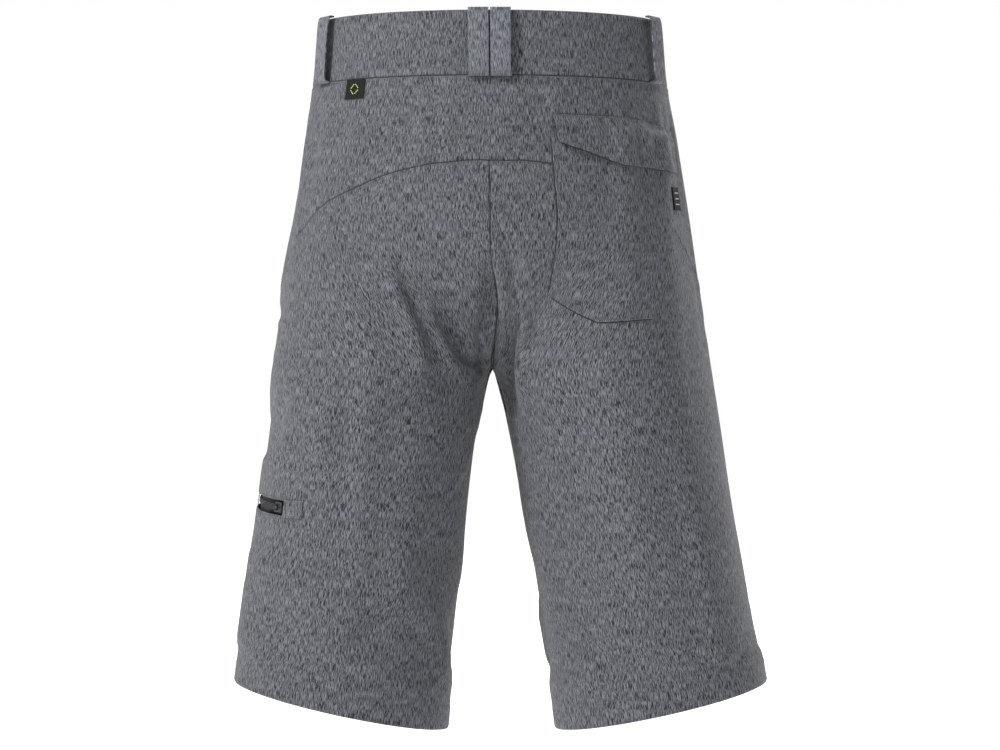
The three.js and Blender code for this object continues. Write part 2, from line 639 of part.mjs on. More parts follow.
add("fly_shield", cloth({
  at: (a, b) => {
    const z = mix(topEdge(1) - bandHeight - 1, -fly.bottom - fly.shieldLow, b);
    const s = frontAt(mix(fly.shieldHalf, -fly.shieldHalf, a) || 0.001, z);
    return [s, levelAt(Math.abs(s > 1 ? s - 2 : s), z)];
  },
  outer: shieldFace,
  inner: (a) => shieldFace(a) - fly.shieldThick,
  columns: 10, rows: 6,
}), "lining");

// ---- Hand pockets -----------------------------------------------------------------------------
const facingLow = -fabric - clearance;
const bagGap = 0.9;
const bagCloth = 0.9;
for (const [name, side] of sides) {
  const edge = stepFor(halfSeam, 0.5, -hip.drop);
  const ordered = (a) => (side > 0 ? a : 1 - a);
  add(`hand_pocket_facing_${name}`, cloth({
    at: (a, b) => {
      const u = mix(0.5 + edge, handPocket.topAt + 0.03, ordered(a));
      return [side * u, mix(1 + halfSeam / bandHeight, levelAt(u, slantEdge(u) - handPocket.facing), b)];
    },
    outer: facingLow, inner: facingLow - fabric, columns: 6, rows: 8,
  }), "shell");
  add(`hand_pocket_bag_${name}`, cloth({
    at: (a, b) => {
      const end = mix(handPocket.topAt + 0.04, handPocket.bagEnd, Math.sin(Math.PI * b) ** 0.7);
      const u = mix(0.515, end, ordered(a));
      return [side * u, levelAt(u, mix(topEdge(u) - bandHeight - 2, -handPocket.bagBottom, b))];
    },
    outer: facingLow - fabric - bagGap, inner: facingLow - fabric - bagGap - bagCloth, columns: 7, rows: 8,
  }), "lining");
}

// ---- Back pocket ------------------------------------------------------------------------------
const flapTop = (a) => flap.top - flap.topRightFall * smooth((a - 0.3) / 0.7);
function flapHeight(a) {
  if (a < flap.cornerAt) return mix(flap.leftHeight, flap.cornerHeight, a / flap.cornerAt);
  return mix(flap.cornerHeight, flap.rightHeight, (a - flap.cornerAt) / (1 - flap.cornerAt));
}
const flapAt = (a, b) => {
  const s = mix(mix(flap.left, flap.bottomLeft, b), mix(flap.right, flap.bottomRight, b), a);
  return [s, levelAt(s, flapTop(a) - flapHeight(a) * b)];
};
const pocketLow = 2 * clearance;
const pocketTopShare = 0.48; // how far down the flap the pocket's mouth lies
add("back_pocket", cloth({
  at: (a, b) => {
    const left = mix(backPocket.left, backPocket.bottomLeft, b);
    const right = mix(backPocket.right, backPocket.bottomRight, b);
    const s = mix(left, right, a);
    const along = Math.min(Math.max((s - flap.left) / (flap.right - flap.left), 0), 1);
    const top = flapTop(along) - flapHeight(along) * pocketTopShare;
    const { middle, bottomLeftZ, bottomMiddleZ, bottomRightZ } = backPocket;
    const bottom = a < middle
      ? mix(bottomLeftZ, bottomMiddleZ, a / middle)
      : mix(bottomMiddleZ, bottomRightZ, (a - middle) / (1 - middle));
    return [s, levelAt(s, mix(top, bottom, b))];
  },
  inner: pocketLow, outer: pocketLow + backPocket.thick, columns: 12, rows: 10,
}), "shell");
const loopTapeLow = pocketLow + backPocket.thick + clearance;
const hookTapeLow = loopTapeLow + gripTape.thick + clearance;
const flapLow = hookTapeLow + gripTape.thick + clearance;
const flapLift = (a, b) => mix(clearance, flapLow, smooth(b / 0.4));
add("pocket_flap", cloth({
  at: flapAt, inner: flapLift, outer: (a, b) => flapLift(a, b) + flap.thick, columns: 15, rows: 5,
}), "shell");
const gripMiddle = mix(flap.left, flap.right, flap.cornerAt + 0.04);
const gripTop = flapTop(flap.cornerAt) - flap.cornerHeight + gripTape.height + 5;
const gripEnds = [gripMiddle - gripTape.width / 2, gripMiddle + gripTape.width / 2];
const gripStrip = (low) =>
  patch(...gripEnds, gripTop, gripTop - gripTape.height, low, gripTape.thick, 4, 1);
add("pocket_loop_tape", gripStrip(loopTapeLow), "trim");
add("flap_hook_tape", gripStrip(hookTapeLow), "trim");

// ---- Leg pocket -------------------------------------------------------------------------------
const base = legRing.radius - legZip.recess;
for (const [name, way] of [["lower", -1], ["upper", 1]]) {
  const span = (near, far) => (way > 0 ? [near, far] : [-far, -near]);
  const tape = ringStrip(base + zip.tapeTop - zip.tapeThick, base + zip.tapeTop,
    ...span(zip.tapeInner, zip.tapeInner + zip.tapeWidth), 0.03);
  const coil = ringStrip(
    base + zip.coilTop - zip.coilThick, base + zip.coilTop, ...span(zip.coilInner, zip.coilOuter), -0.015,
  );
  add(`leg_zip_tape_${name}`, tape, "trim", ringFrame);
  add(`leg_zip_coil_${name}`, coil, "trim", ringFrame);
}
const sliderTurn = rearTurn - (slider.length / 2 + 3) / legRing.radius;
add("leg_zip_slider", sliderBody(), "metal", ringSpot(sliderTurn));
add("leg_zip_puller", pullTab(puller.reach), "trim", ringSpot(sliderTurn));
const garageZ = (() => {
  const turn = rearTurn + 0.1;
  const spot = new THREE.Vector3(base * Math.cos(turn), base * Math.sin(turn), 0);
  return spot.applyMatrix4(ringFrame).z;
})();
const garagePatch = patch(
  legSide * (legZip.rear - 0.004), legSide * garage.rear,
  garageZ + garage.height / 2, garageZ - garage.height / 2, clearance, garage.thick, 3, 2,
);
add("leg_zip_garage", garagePatch, "shell");
add("leg_pocket_bag", cloth({
  at: (a, b) => {
    const s = legSide * mix(legBag.front, legBag.rear, a);
    return [s, levelAt(Math.abs(s), -mix(legBag.top, legBag.bottom, b))];
  },
  outer: (a, b) => dished(a, b, legBag.depth, 10),
  inner: (a, b) => dished(a, b, legBag.depth, 10) - legBag.thick,
  columns: 10, rows: 10,
}), "lining");

// ---- Labels -----------------------------------------------------------------------------------
const labelTop = -bandHeight - 1;
const waistPatch = patch(
  -waistLabel.front, -waistLabel.rear, labelTop, labelTop - waistLabel.height, clearance, waistLabel.thick,
);
const pocketPatch = patch(
  pocketLabel.rear, pocketLabel.front, -pocketLabel.top, -pocketLabel.top - pocketLabel.height,
  pocketLow + backPocket.thick + clearance, pocketLabel.thick,
);
const sizePatch = patch(
  -sizeLabel.half, sizeLabel.half, -sizeLabel.drop, -sizeLabel.drop - sizeLabel.height,
  facingFaces.inner - clearance - sizeLabel.thick, sizeLabel.thick, 4, 1,
);
add("waist_label", waistPatch, "green");
add("pocket_label", pocketPatch, "trim");
add("size_label", sizePatch, "trim");

// ---- Pads -------------------------------------------------------------------------------------
const seatOuter = -fabric - 4 * clearance;
const hipOuter = facingLow - fabric - bagGap - bagCloth - 2 * clearance;
function addPad(name, s0, s1, top, bottom, outer, columns, rows) {
  add(`${name}_pad`, patch(s0, s1, -top, -bottom, outer - pad.thick, pad.thick, columns, rows), "foam");
  add(`${name}_pad_sleeve`, sleeve(s0, s1, -top, -bottom, outer, columns, rows), "mesh");
}
addPad("seat", -seatPad.half, seatPad.half, seatPad.top, seatPad.bottom, seatOuter, 8, 5);
addPad("hip_left", -hipPad.front, -hipPad.rear, hipPad.top, hipPad.bottom, hipOuter, 6, 6);
addPad("hip_right", hipPad.rear, hipPad.front, hipPad.top, hipPad.bottom, hipOuter, 6, 6);

export default shorts;
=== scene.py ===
"""Baggy padded shorts: melange shell, back yoke, belt loops, flapped back pocket, zipped leg
pocket, snapped zip fly and soft pads inside. Metres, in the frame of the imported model."""

import math

import bmesh
import bpy
import numpy as np
from mathutils import Matrix, Vector


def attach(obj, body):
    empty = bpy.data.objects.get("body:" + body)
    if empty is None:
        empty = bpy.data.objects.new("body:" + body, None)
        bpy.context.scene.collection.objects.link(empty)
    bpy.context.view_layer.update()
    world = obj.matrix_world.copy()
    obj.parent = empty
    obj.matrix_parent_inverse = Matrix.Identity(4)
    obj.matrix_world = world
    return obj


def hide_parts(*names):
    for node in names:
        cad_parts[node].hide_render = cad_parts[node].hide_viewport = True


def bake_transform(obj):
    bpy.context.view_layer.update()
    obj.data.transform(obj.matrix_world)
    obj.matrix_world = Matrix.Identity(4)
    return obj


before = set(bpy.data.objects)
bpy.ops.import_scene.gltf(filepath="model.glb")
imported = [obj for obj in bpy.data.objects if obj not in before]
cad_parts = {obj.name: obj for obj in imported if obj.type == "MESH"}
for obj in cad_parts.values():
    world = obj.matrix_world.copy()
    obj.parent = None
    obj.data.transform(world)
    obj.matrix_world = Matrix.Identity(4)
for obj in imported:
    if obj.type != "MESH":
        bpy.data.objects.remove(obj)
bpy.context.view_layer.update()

MM = 0.001
BODY = "shell"

# ---- Sizes, in metres -------------------------------------------------------------------------
# The cloth is cut to the same rounds as the frame's panels: heights below the waist's top edge,
# with the half width and the depths to the back and the front at each.
BAND = 0.057
HIP = 0.222
CROTCH = 0.308
HEM_OUTER, HEM_INNER = 0.591, 0.634
HEM = (HEM_OUTER + HEM_INNER) / 2
ROUNDS_Z = (0.0, -BAND, -HIP, -CROTCH, -HEM)
HALF_WIDTH = (0.155, 0.160, 0.1855, 0.196, 0.243)
BACK = (-0.110, -0.116, -0.141, -0.131, -0.099)
FRONT = (0.106, 0.111, 0.124, 0.113, 0.087)
FRONT_DROP = 0.018
SEAT_START = 0.165
THIGH_DROP = 0.07
LEG_GAP = 0.096
GAP_POWER = 0.68
LEAN = 0.010

CLOTH = 1.2 * MM
SEAM = 0.25 * MM
ALLOWANCE = 7 * MM  # the turned-under cloth beside a seam
GRAIN_TURN = 0.55  # metres of cloth for each unit round the body
BATCH = 40  # small bars made together
NARROW = 0.0102  # lay reckons a cut size only for pieces wider than this

YOKE = dict(middle=0.130, side=0.230, curve=2.1, corner=0.48)
SLANT = dict(top=0.66, bottom=0.215, facing=0.028, bag_bottom=0.300, bag_end=0.78)
POCKET = dict(
    left=0.104, bottom_left=0.110, right=0.4, bottom_right=0.305, middle=0.55,
    z=(-0.246, -0.269, -0.265),
)
FLAP = dict(
    left=0.107, bottom_left=0.114, right=0.43, bottom_right=0.41, top=-0.0905, fall=0.008,
    left_height=0.0245, corner=0.4, corner_height=0.043, right_height=0.037,
)
GRIP = dict(width=0.09, height=0.016, above=0.005, thick=0.6 * MM, clear=0.4 * MM)
LOOP_AT = dict(side=0.365, front=0.84, pair=9.6 * MM)
LOOP = dict(width=0.018, past_band=1.5 * MM, stand=7.0 * MM, thick=1.5 * MM)
TAB = dict(root=0.012, reach=0.036, height=0.05, lift=4.6 * MM, ramp=0.42, thick=1.4 * MM)
LEG_ZIP = dict(z=-0.427, rear=0.373, front=0.615, tilt=0.075, half_slot=6.5 * MM)
GARAGE = dict(rear=0.333, height=0.016, length=0.02, lap=0.004)
LEG_BAG = dict(top=0.400, bottom=0.548, rear=0.35, front=0.645, depth=8 * MM)
FLY = dict(bottom=0.196, edge=0.9891, recess=0.55 * MM, below_band=5 * MM)
HEM_TURN = 0.021


# ---- The body surface -------------------------------------------------------------------------
def smooth(t):
    t = np.clip(t, 0, 1)
    return t * t * (3 - 2 * t)


def mix(a, b, t):
    return a + (b - a) * t


def through(heights, values, z):
    """A smooth curve through a few values, read at heights z."""
    x, y = -np.array(heights), np.array(values)
    slopes = np.gradient(y, x, edge_order=1)
    slopes[1:-1] = (y[2:] - y[:-2]) / (x[2:] - x[:-2])
    q = -np.asarray(z, float)
    i = np.clip(np.searchsorted(x, q, side="right") - 1, 0, len(x) - 2)
    span = x[i + 1] - x[i]
    t = np.clip((q - x[i]) / span, -0.2, 1.2)
    m0, m1 = slopes[i] * span, slopes[i + 1] * span
    rise = y[i + 1] - y[i]
    return y[i] + t * (m0 + t * (3 * rise - 2 * m0 - m1 + t * (m0 + m1 - 2 * rise)))


def half_width(z):
    return through(ROUNDS_Z, HALF_WIDTH, z)


def top_edge(u):
    return -FRONT_DROP * smooth((u - 0.5) / 0.5)


def hem_edge(u):
    return -HEM + (HEM_INNER - HEM_OUTER) / 2 * np.cos((u - 0.5) * 2 * math.pi)


def leg_start(u):
    return -CROTCH - THIGH_DROP * np.sin(math.pi * np.clip(u, 0, 1)) ** 1.5


def turn_under(u):
    return 1 - smooth(np.minimum(u, 1 - u) / 0.2)


def height_at(u, v):
    """Heights run 0 top edge, 1 band seam, 2 seat start, 3 round leg, 4 hem."""
    u, v = np.broadcast_arrays(np.asarray(u, float), np.asarray(v, float))
    top = top_edge(u)
    seam = top - BAND
    t = np.clip(v - 2, 0, 1)
    fall = mix(t, np.sin(t * math.pi / 2), turn_under(u))
    z = mix(-SEAT_START, leg_start(u), fall)
    z = np.where(v <= 2, mix(seam, -SEAT_START, v - 1), z)
    z = np.where(v <= 1, top - BAND * v, z)
    return np.where(v > 3, mix(leg_start(u), hem_edge(u), v - 3), z)


def level_at(u, z):
    u, z = np.broadcast_arrays(np.abs(np.asarray(u, float)), np.asarray(z, float))
    seam = top_edge(u) - BAND
    low, high = np.full(u.shape, 2.0), np.full(u.shape, 3.0)
    for _ in range(24):
        middle = (low + high) / 2
        above = height_at(u, middle) > z
        low, high = np.where(above, middle, low), np.where(above, high, middle)
    v = np.where(z <= leg_start(u), 3 + (leg_start(u) - z) / (leg_start(u) - hem_edge(u)), low)
    v = np.where(z >= -SEAT_START, 1 + (seam - z) / (seam + SEAT_START), v)
    return np.where(z >= seam, (top_edge(u) - z) / BAND, v)


def surface(s, v):
    """Points at s round the body and height v. s is 0 at the centre back, 0.5 at the right side,
    1 at the centre front and -0.5 at the left side."""
    s, v = np.broadcast_arrays(np.asarray(s, float), np.asarray(v, float))
    s = np.where(s > 1, s - 2, np.where(s < -1, s + 2, s))
    side, u = np.where(s < 0, -1.0, 1.0), np.abs(s)
    z = height_at(u, v)
    outer = half_width(z)
    inner = LEG_GAP / 2 * (np.maximum(0, -CROTCH - z) / (HEM_INNER - CROTCH)) ** GAP_POWER
    back, front = through(ROUNDS_Z, BACK, z), through(ROUNDS_Z, FRONT, z)
    middle, deep = (front + back) / 2, (front - back) / 2
    turn = (u - 0.5) * math.pi
    t = np.clip(v - 2, 0, 1)
    leg = mix(smooth(t), 1 - np.cos(t * math.pi / 2), turn_under(u))
    leg_x = (outer + inner) / 2 + (outer - inner) / 2 * np.cos(2 * turn)
    x = mix(outer * np.cos(turn), leg_x, leg)
    y = mix(middle + deep * np.sin(turn), middle + deep * np.sin(2 * turn), leg)
    lean = LEAN * np.maximum(0, (-HIP - z) / (HEM - HIP))
    return np.stack([side * x + lean, y, z], -1)


def unit(a):
    return a / np.maximum(np.linalg.norm(a, axis=-1, keepdims=True), 1e-12)


def normals(s, v, side=0):
    """Outward normals. On one side's own cloth the slope is taken within that side."""
    low, high = {0: (-3, 3), 1: (0, 1), -1: (-1, -1e-6)}[side]
    s = np.asarray(s, float)
    along = surface(np.minimum(s + 0.004, high), v) - surface(np.maximum(s - 0.004, low), v)
    down = surface(s, np.minimum(v + 0.012, 4.2)) - surface(s, np.maximum(v - 0.012, -0.2))
    return unit(np.cross(down, along))


# ---- How the cloth hangs ----------------------------------------------------------------------
DRAPE_ROWS = (4, 9, 18, 26)  # rows of the hanging cloth in each stretch of height
DRAPE_COLUMNS = 44
DRAPE_LIMIT = 3 * MM


def drape_levels():
    stretches = [np.arange(n) / n + k for k, n in enumerate(DRAPE_ROWS)]
    return np.concatenate(stretches + [np.array([4.0])])


def held_weight(s, v, point):
    """1 where the cloth is held by the band, a zip or a snap, and a little everywhere else."""
    band = 1 - smooth((v - 1.0) / 0.5)
    fly = (1 - smooth((np.abs(point[..., 0]) - 0.02) / 0.03)) * (point[..., 1] > 0.05)
    fly = fly * smooth((point[..., 2] + 0.25) / 0.04)
    hem = smooth((v - 3.8) / 0.15) * 0.9
    return np.clip(np.maximum.reduce([band, fly, leg_zip_mask(s, point), hem]), 0, 1)


def leg_zip_mask(s, point):
    beside = np.maximum(-0.66 - s, s + 0.30)
    off = np.abs(point[..., 2] - leg_zip_z(point))
    return (1 - smooth(beside / 0.06)) * (1 - smooth((off - 0.02) / 0.03))


def leg_zip_z(point):
    return LEG_ZIP["z"] + LEG_ZIP["tilt"] * (point[..., 1] - RING_CENTRE[1])


def drape():
    """How far the hanging cloth lies from its pattern's surface, on a grid for each side."""
    levels = drape_levels()
    across = np.arange(DRAPE_COLUMNS + 1) / DRAPE_COLUMNS
    grids = {}
    cloth = bmesh.new()
    for side in (1, -1):
        s, v = np.meshgrid(side * across, levels)
        grids[side] = surface(s, v)
        if side < 0:
            grids[side][:, 0] = np.where(
                (levels > 3)[:, None], surface(np.full(len(levels), -1e-9), levels), grids[side][:, 0]
            )
        add_grid(cloth, grids[side], flip=side < 0)
    bmesh.ops.remove_doubles(cloth, verts=cloth.verts, dist=2e-5)
    mesh = bpy.data.meshes.new("hanging")
    cloth.to_mesh(mesh)
    cloth.free()
    hanging = bpy.data.objects.new("hanging", mesh)
    bpy.context.collection.objects.link(hanging)
    rest = read_points(mesh)
    held = hanging.vertex_groups.new(name="held")
    weight = {}
    for side in (1, -1):
        s, v = np.meshgrid(side * across, levels)
        w = np.maximum(held_weight(s, v, grids[side]), 0.02)
        for key, value in zip(keys_of(grids[side]), w.reshape(-1)):
            weight[key] = max(value, weight.get(key, 0))
    rest_keys = keys_of(rest)
    for i, key in enumerate(rest_keys):
        held.add([i], weight.get(key, 0.05), "REPLACE")
    # A little unevenness, so that the loose cloth folds somewhere.
    start = rest + 0.0008 * np.sin(rest[:, [2, 0, 1]] * 61 + rest[:, [1, 2, 0]] * 47)
    shape = hanging.shape_key_add(name="pattern")
    mesh.vertices.foreach_set("co", start.reshape(-1).astype(np.float32))
    shape.data.foreach_set("co", start.reshape(-1).astype(np.float32))
    sim = hanging.modifiers.new("hang", "CLOTH")
    settings = sim.settings
    settings.quality = 6
    settings.mass = 0.18
    settings.tension_stiffness = settings.compression_stiffness = 22
    settings.shear_stiffness = 9
    settings.bending_stiffness = 0.35
    settings.vertex_group_mass = "held"
    settings.pin_stiffness = 0.12
    settings.shrink_min = -0.035
    settings.effector_weights.gravity = 0.35
    sim.collision_settings.use_collision = False
    scene = bpy.context.scene
    for step in range(1, 27):
        scene.frame_set(step)
    done = hanging.evaluated_get(bpy.context.evaluated_depsgraph_get())
    moved = read_points(done.to_mesh()) - rest
    done.to_mesh_clear()
    scene.frame_set(1)
    far = np.linalg.norm(moved, axis=1, keepdims=True)
    moved *= DRAPE_LIMIT * np.tanh(far / DRAPE_LIMIT) / np.maximum(far, 1e-9)
    bpy.data.objects.remove(hanging)
    place = {key: i for i, key in enumerate(rest_keys)}
    result = {}
    for side, grid in grids.items():
        index = [place.get(key, -1) for key in keys_of(grid)]
        result[side] = moved[index].reshape(grid.shape)
    return result


def keys_of(points):
    return [tuple(p) for p in np.round(points.reshape(-1, 3) * 5000).astype(int)]


def read_points(mesh):
    flat = np.empty(len(mesh.vertices) * 3, np.float32)
    mesh.vertices.foreach_get("co", flat)
    return flat.reshape(-1, 3).astype(float)


def add_grid(bm, points, flip=False):
    """A grid of cloth, rows down and columns across, facing outwards."""
    rows, columns = points.shape[:2]
    made = bmesh.ops.create_grid(bm, x_segments=columns - 1, y_segments=rows - 1, size=0.5)
    # The operator lays its corners out row by row from the bottom left.
    laid = points[::-1].reshape(-1, 3)
    for vert, point in zip(made["verts"], laid):
        vert.co = point
    if flip:
        bmesh.ops.reverse_faces(bm, faces=list({f for v in made["verts"] for f in v.link_faces}))
    return made["verts"]


# ---- The worn shape: folds pressed into the hanging cloth ---------------------------------------
# Each fold runs through a few (x, z) places on the back or front: ridge or valley height, half
# width, and the line, in millimetres.
BACK_FOLDS = (
    (-13, 6, ((-3, -226), (-6, -250), (-7, -280), (-4, -306))),
    (4.0, 5, ((6, -226), (7, -250), (8, -280), (9, -300))),
    (5.0, 7, ((-88, -206), (-82, -236), (-71, -264), (-61, -294), (-58, -330))),
    (-6.0, 6, ((-79, -212), (-73, -236), (-62, -262), (-50, -284), (-45, -306))),
    (4.2, 6, ((-56, -250), (-47, -276), (-37, -296), (-26, -316))),
    (-8.5, 5.5, ((-44, -256), (-35, -276), (-21, -297), (-8, -308))),
    (4.0, 5, ((-26, -270), (-19, -284), (-11, -300))),
    (6.0, 6.5, ((31, -262), (29, -284), (27, -306), (24, -334))),
    (-7.5, 7, ((17, -262), (15, -290), (17, -318), (20, -348))),
    (-3.4, 6, ((24, -206), (19, -226), (18, -250))),
    (-2.8, 5, ((8, -186), (14, -206), (15, -222))),
    (2.6, 8, ((58, -250), (52, -290), (50, -330), (56, -372))),
    (-2.8, 10, ((86, -280), (78, -320), (74, -360), (80, -420))),
    (2.6, 12, ((-112, -250), (-104, -300), (-106, -350), (-112, -410))),
    (-3.0, 11, ((-128, -290), (-124, -340), (-130, -400), (-140, -470))),
    (2.6, 13, ((-70, -360), (-66, -420), (-72, -490), (-80, -560))),
    (-2.4, 12, ((-95, -420), (-98, -480), (-104, -540), (-112, -600))),
    (2.8, 13, ((112, -330), (118, -400), (128, -480), (140, -560))),
    (-2.6, 12, ((148, -360), (160, -430), (174, -500), (188, -580))),
    (2.2, 11, ((176, -420), (188, -490), (200, -560), (208, -600))),
    (2.0, 9, ((-20, -178), (-38, -186), (-58, -200), (-76, -218))),
)
FRONT_FOLDS = (
    (3.6, 8, ((14, -238), (38, -262), (64, -278), (94, -288))),
    (-3.6, 8, ((16, -258), (40, -282), (66, -298), (96, -306))),
    (3.6, 8, ((-12, -236), (-34, -262), (-60, -280), (-90, -292))),
    (-3.6, 9, ((-14, -258), (-38, -284), (-64, -300), (-92, -312))),
    (3.0, 12, ((84, -320), (92, -390), (104, -470), (118, -560))),
    (-2.8, 13, ((126, -300), (140, -380), (156, -460), (172, -560))),
    (3.0, 12, ((-72, -330), (-80, -400), (-88, -480), (-98, -570))),
    (-2.8, 13, ((-116, -310), (-124, -390), (-136, -470), (-150, -560))),
    (2.4, 10, ((40, -170), (62, -196), (76, -228), (80, -262))),
    (2.4, 10, ((-40, -168), (-60, -198), (-74, -230), (-80, -260))),
)
# The centre back seam is drawn a little to the right over the seat.
SWAY = dict(reach=6 * MM, middle=-0.256, tall=0.034, wide=0.03)


def line_distance(x, z, line):
    """Distance to a bent line, and how far along it the nearest place is, from 0 to 1."""
    best = np.full(x.shape, 1e9)
    along = np.zeros(x.shape)
    count = len(line) - 1
    for i, ((x0, z0), (x1, z1)) in enumerate(zip(line, line[1:])):
        dx, dz = x1 - x0, z1 - z0
        t = np.clip(((x - x0) * dx + (z - z0) * dz) / (dx * dx + dz * dz), 0, 1)
        far = np.hypot(x - x0 - t * dx, z - z0 - t * dz)
        closer = far < best
        best = np.where(closer, far, best)
        along = np.where(closer, (i + t) / count, along)
    return best, along


def fold_height(s, point):
    """How far the creases lift the cloth. They fade out where the back meets the front."""
    x, z = point[..., 0] / MM, point[..., 2] / MM
    u = np.abs(np.where(np.abs(s) > 1, 2 - np.abs(s), s))
    total = np.zeros(x.shape)
    on_back, on_front = 1 - smooth((u - 0.4) / 0.12), smooth((u - 0.5) / 0.12)
    for folds, on in ((BACK_FOLDS, on_back), (FRONT_FOLDS, on_front)):
        for height, width, line in folds:
            far, along = line_distance(x, z, line)
            ends = np.sin(math.pi * np.clip(along * 0.9 + 0.05, 0, 1)) ** 0.7
            total += on * height * ends * np.exp(-((far / width) ** 2))
    # Slow waves down the legs, which open out towards the hem.
    below = smooth((-z - 240) / 200)
    turn = u * 2 * math.pi
    waves = 1.1 * np.sin(3 * turn + z / 88 + s) + 0.8 * np.sin(5 * turn - z / 61 + 2 * s)
    return (total + below * waves) * MM


def ring_of_leg_zip():
    """The circle that the leg zip follows: centre, radius, axis, and the turns of its two ends."""
    spots = (LEG_ZIP["rear"], (LEG_ZIP["rear"] + LEG_ZIP["front"]) / 2, LEG_ZIP["front"])
    a, b, c = (surface(-u, level_at(u, LEG_ZIP["z"]))[:2] for u in spots)
    rows = np.array([b - a, c - b])
    right = np.array([(b - a) @ (a + b) / 2, (c - b) @ (b + c) / 2])
    centre = np.linalg.solve(rows, right)
    turns = [math.atan2(p[1] - centre[1], p[0] - centre[0]) for p in (a, c)]
    rear = turns[0] - (2 * math.pi if turns[0] > 0 else 0)
    front = turns[1]
    while front > rear:
        front -= 2 * math.pi
    axis = unit(np.array([0, -LEG_ZIP["tilt"], 1.0]))
    return np.array([*centre, LEG_ZIP["z"]]), float(np.linalg.norm(b - centre)), axis, rear, front


RING_CENTRE, RING_RADIUS, RING_AXIS, RING_REAR, RING_FRONT = ring_of_leg_zip()


def sway(point):
    """How far the seat's cloth is drawn sideways, beside the centre back seam."""
    x, y, z = (point[..., k] for k in range(3))
    here = np.exp(-(((z - SWAY["middle"]) / SWAY["tall"]) ** 2) - (x / SWAY["wide"]) ** 2)
    here = here * (y < 0) * smooth((z + 0.33) / 0.03)
    return SWAY["reach"] * here[..., None] * np.array([1.0, 0, 0])


def still(s, v, point):
    """0 where the cloth must lie exactly on the frame, because metal or a zip is set in it."""
    return 1 - np.clip(held_weight(s, v, point) * 1.05, 0, 1)


DRAPE = drape()


def hang(s, v):
    """How far the hanging cloth has moved at s and v."""
    s, v = np.broadcast_arrays(np.asarray(s, float), np.asarray(v, float))
    s = np.where(s > 1, s - 2, np.where(s < -1, s + 2, s))
    counts = np.array(DRAPE_ROWS)
    k = np.clip(np.floor(v).astype(int), 0, 3)
    row = np.concatenate([[0], np.cumsum(counts)])[k] + (v - k) * counts[k]
    column = np.abs(s) * DRAPE_COLUMNS
    moved = np.zeros(s.shape + (3,))
    for side in (1, -1):
        table = DRAPE[side]
        mine = (s >= 0) if side > 0 else (s < 0)
        if not mine.any():
            continue
        r, c = row[mine], column[mine]
        j = np.clip(np.floor(c).astype(int), 0, DRAPE_COLUMNS - 1)
        t = c - j
        lines = [
            catmull_at(table, r, np.clip(j + step, 0, DRAPE_COLUMNS)) for step in (-1, 0, 1, 2)
        ]
        moved[mine] = blend_four(*lines, t[..., None])
    return moved


def blend_four(a, b, c, d, t):
    return b + 0.5 * t * (c - a + t * (2 * a - 5 * b + 4 * c - d + t * (3 * (b - c) + d - a)))


def catmull_at(table, row, column):
    last = len(table) - 1
    i = np.clip(np.floor(row).astype(int), 0, last - 1)
    t = (row - i)[..., None]
    four = (table[np.clip(i + step, 0, last), column] for step in (-1, 0, 1, 2))
    return blend_four(*four, t)


def skin(s, v, lift=0.0, side=0):
    """Points on the worn cloth at s and v, standing lift out from the shell's outer face."""
    s, v = np.broadcast_arrays(np.asarray(s, float), np.asarray(v, float))
    base = surface(s, v)
    free = still(s, v, base)
    fold = fold_height(s, base) * free
    out = normals(s, v, side)
    moved = (hang(s, v) + sway(base)) * free[..., None]
    return base + moved + out * (fold + lift)[..., None], out


# ---- Shader nodes -----------------------------------------------------------------------------
class Wire:
    """A number or colour on a socket. Python's operators on it add Math nodes."""

    def __init__(self, finish, socket):
        self.finish, self.socket = finish, socket

    def math(self, operation, first, second):
        return self.finish.node("ShaderNodeMath", {"operation": operation}, {0: first, 1: second})

    def __add__(self, other):
        return self.math("ADD", self, other)

    def __sub__(self, other):
        return self.math("SUBTRACT", self, other)

    def __rsub__(self, other):
        return self.math("SUBTRACT", other, self)

    def __mul__(self, other):
        return self.math("MULTIPLY", self, other)

    def __gt__(self, other):
        return self.math("GREATER_THAN", self, other)

    def __pow__(self, other):
        return self.math("POWER", self, other)

    __radd__ = __add__
    __rmul__ = __mul__

    def sine(self):
        return self.math("SINE", self, 0)

    def kept(self):
        """Kept between 0 and 1."""
        return self.math("MAXIMUM", self.math("MINIMUM", self, 1), 0)


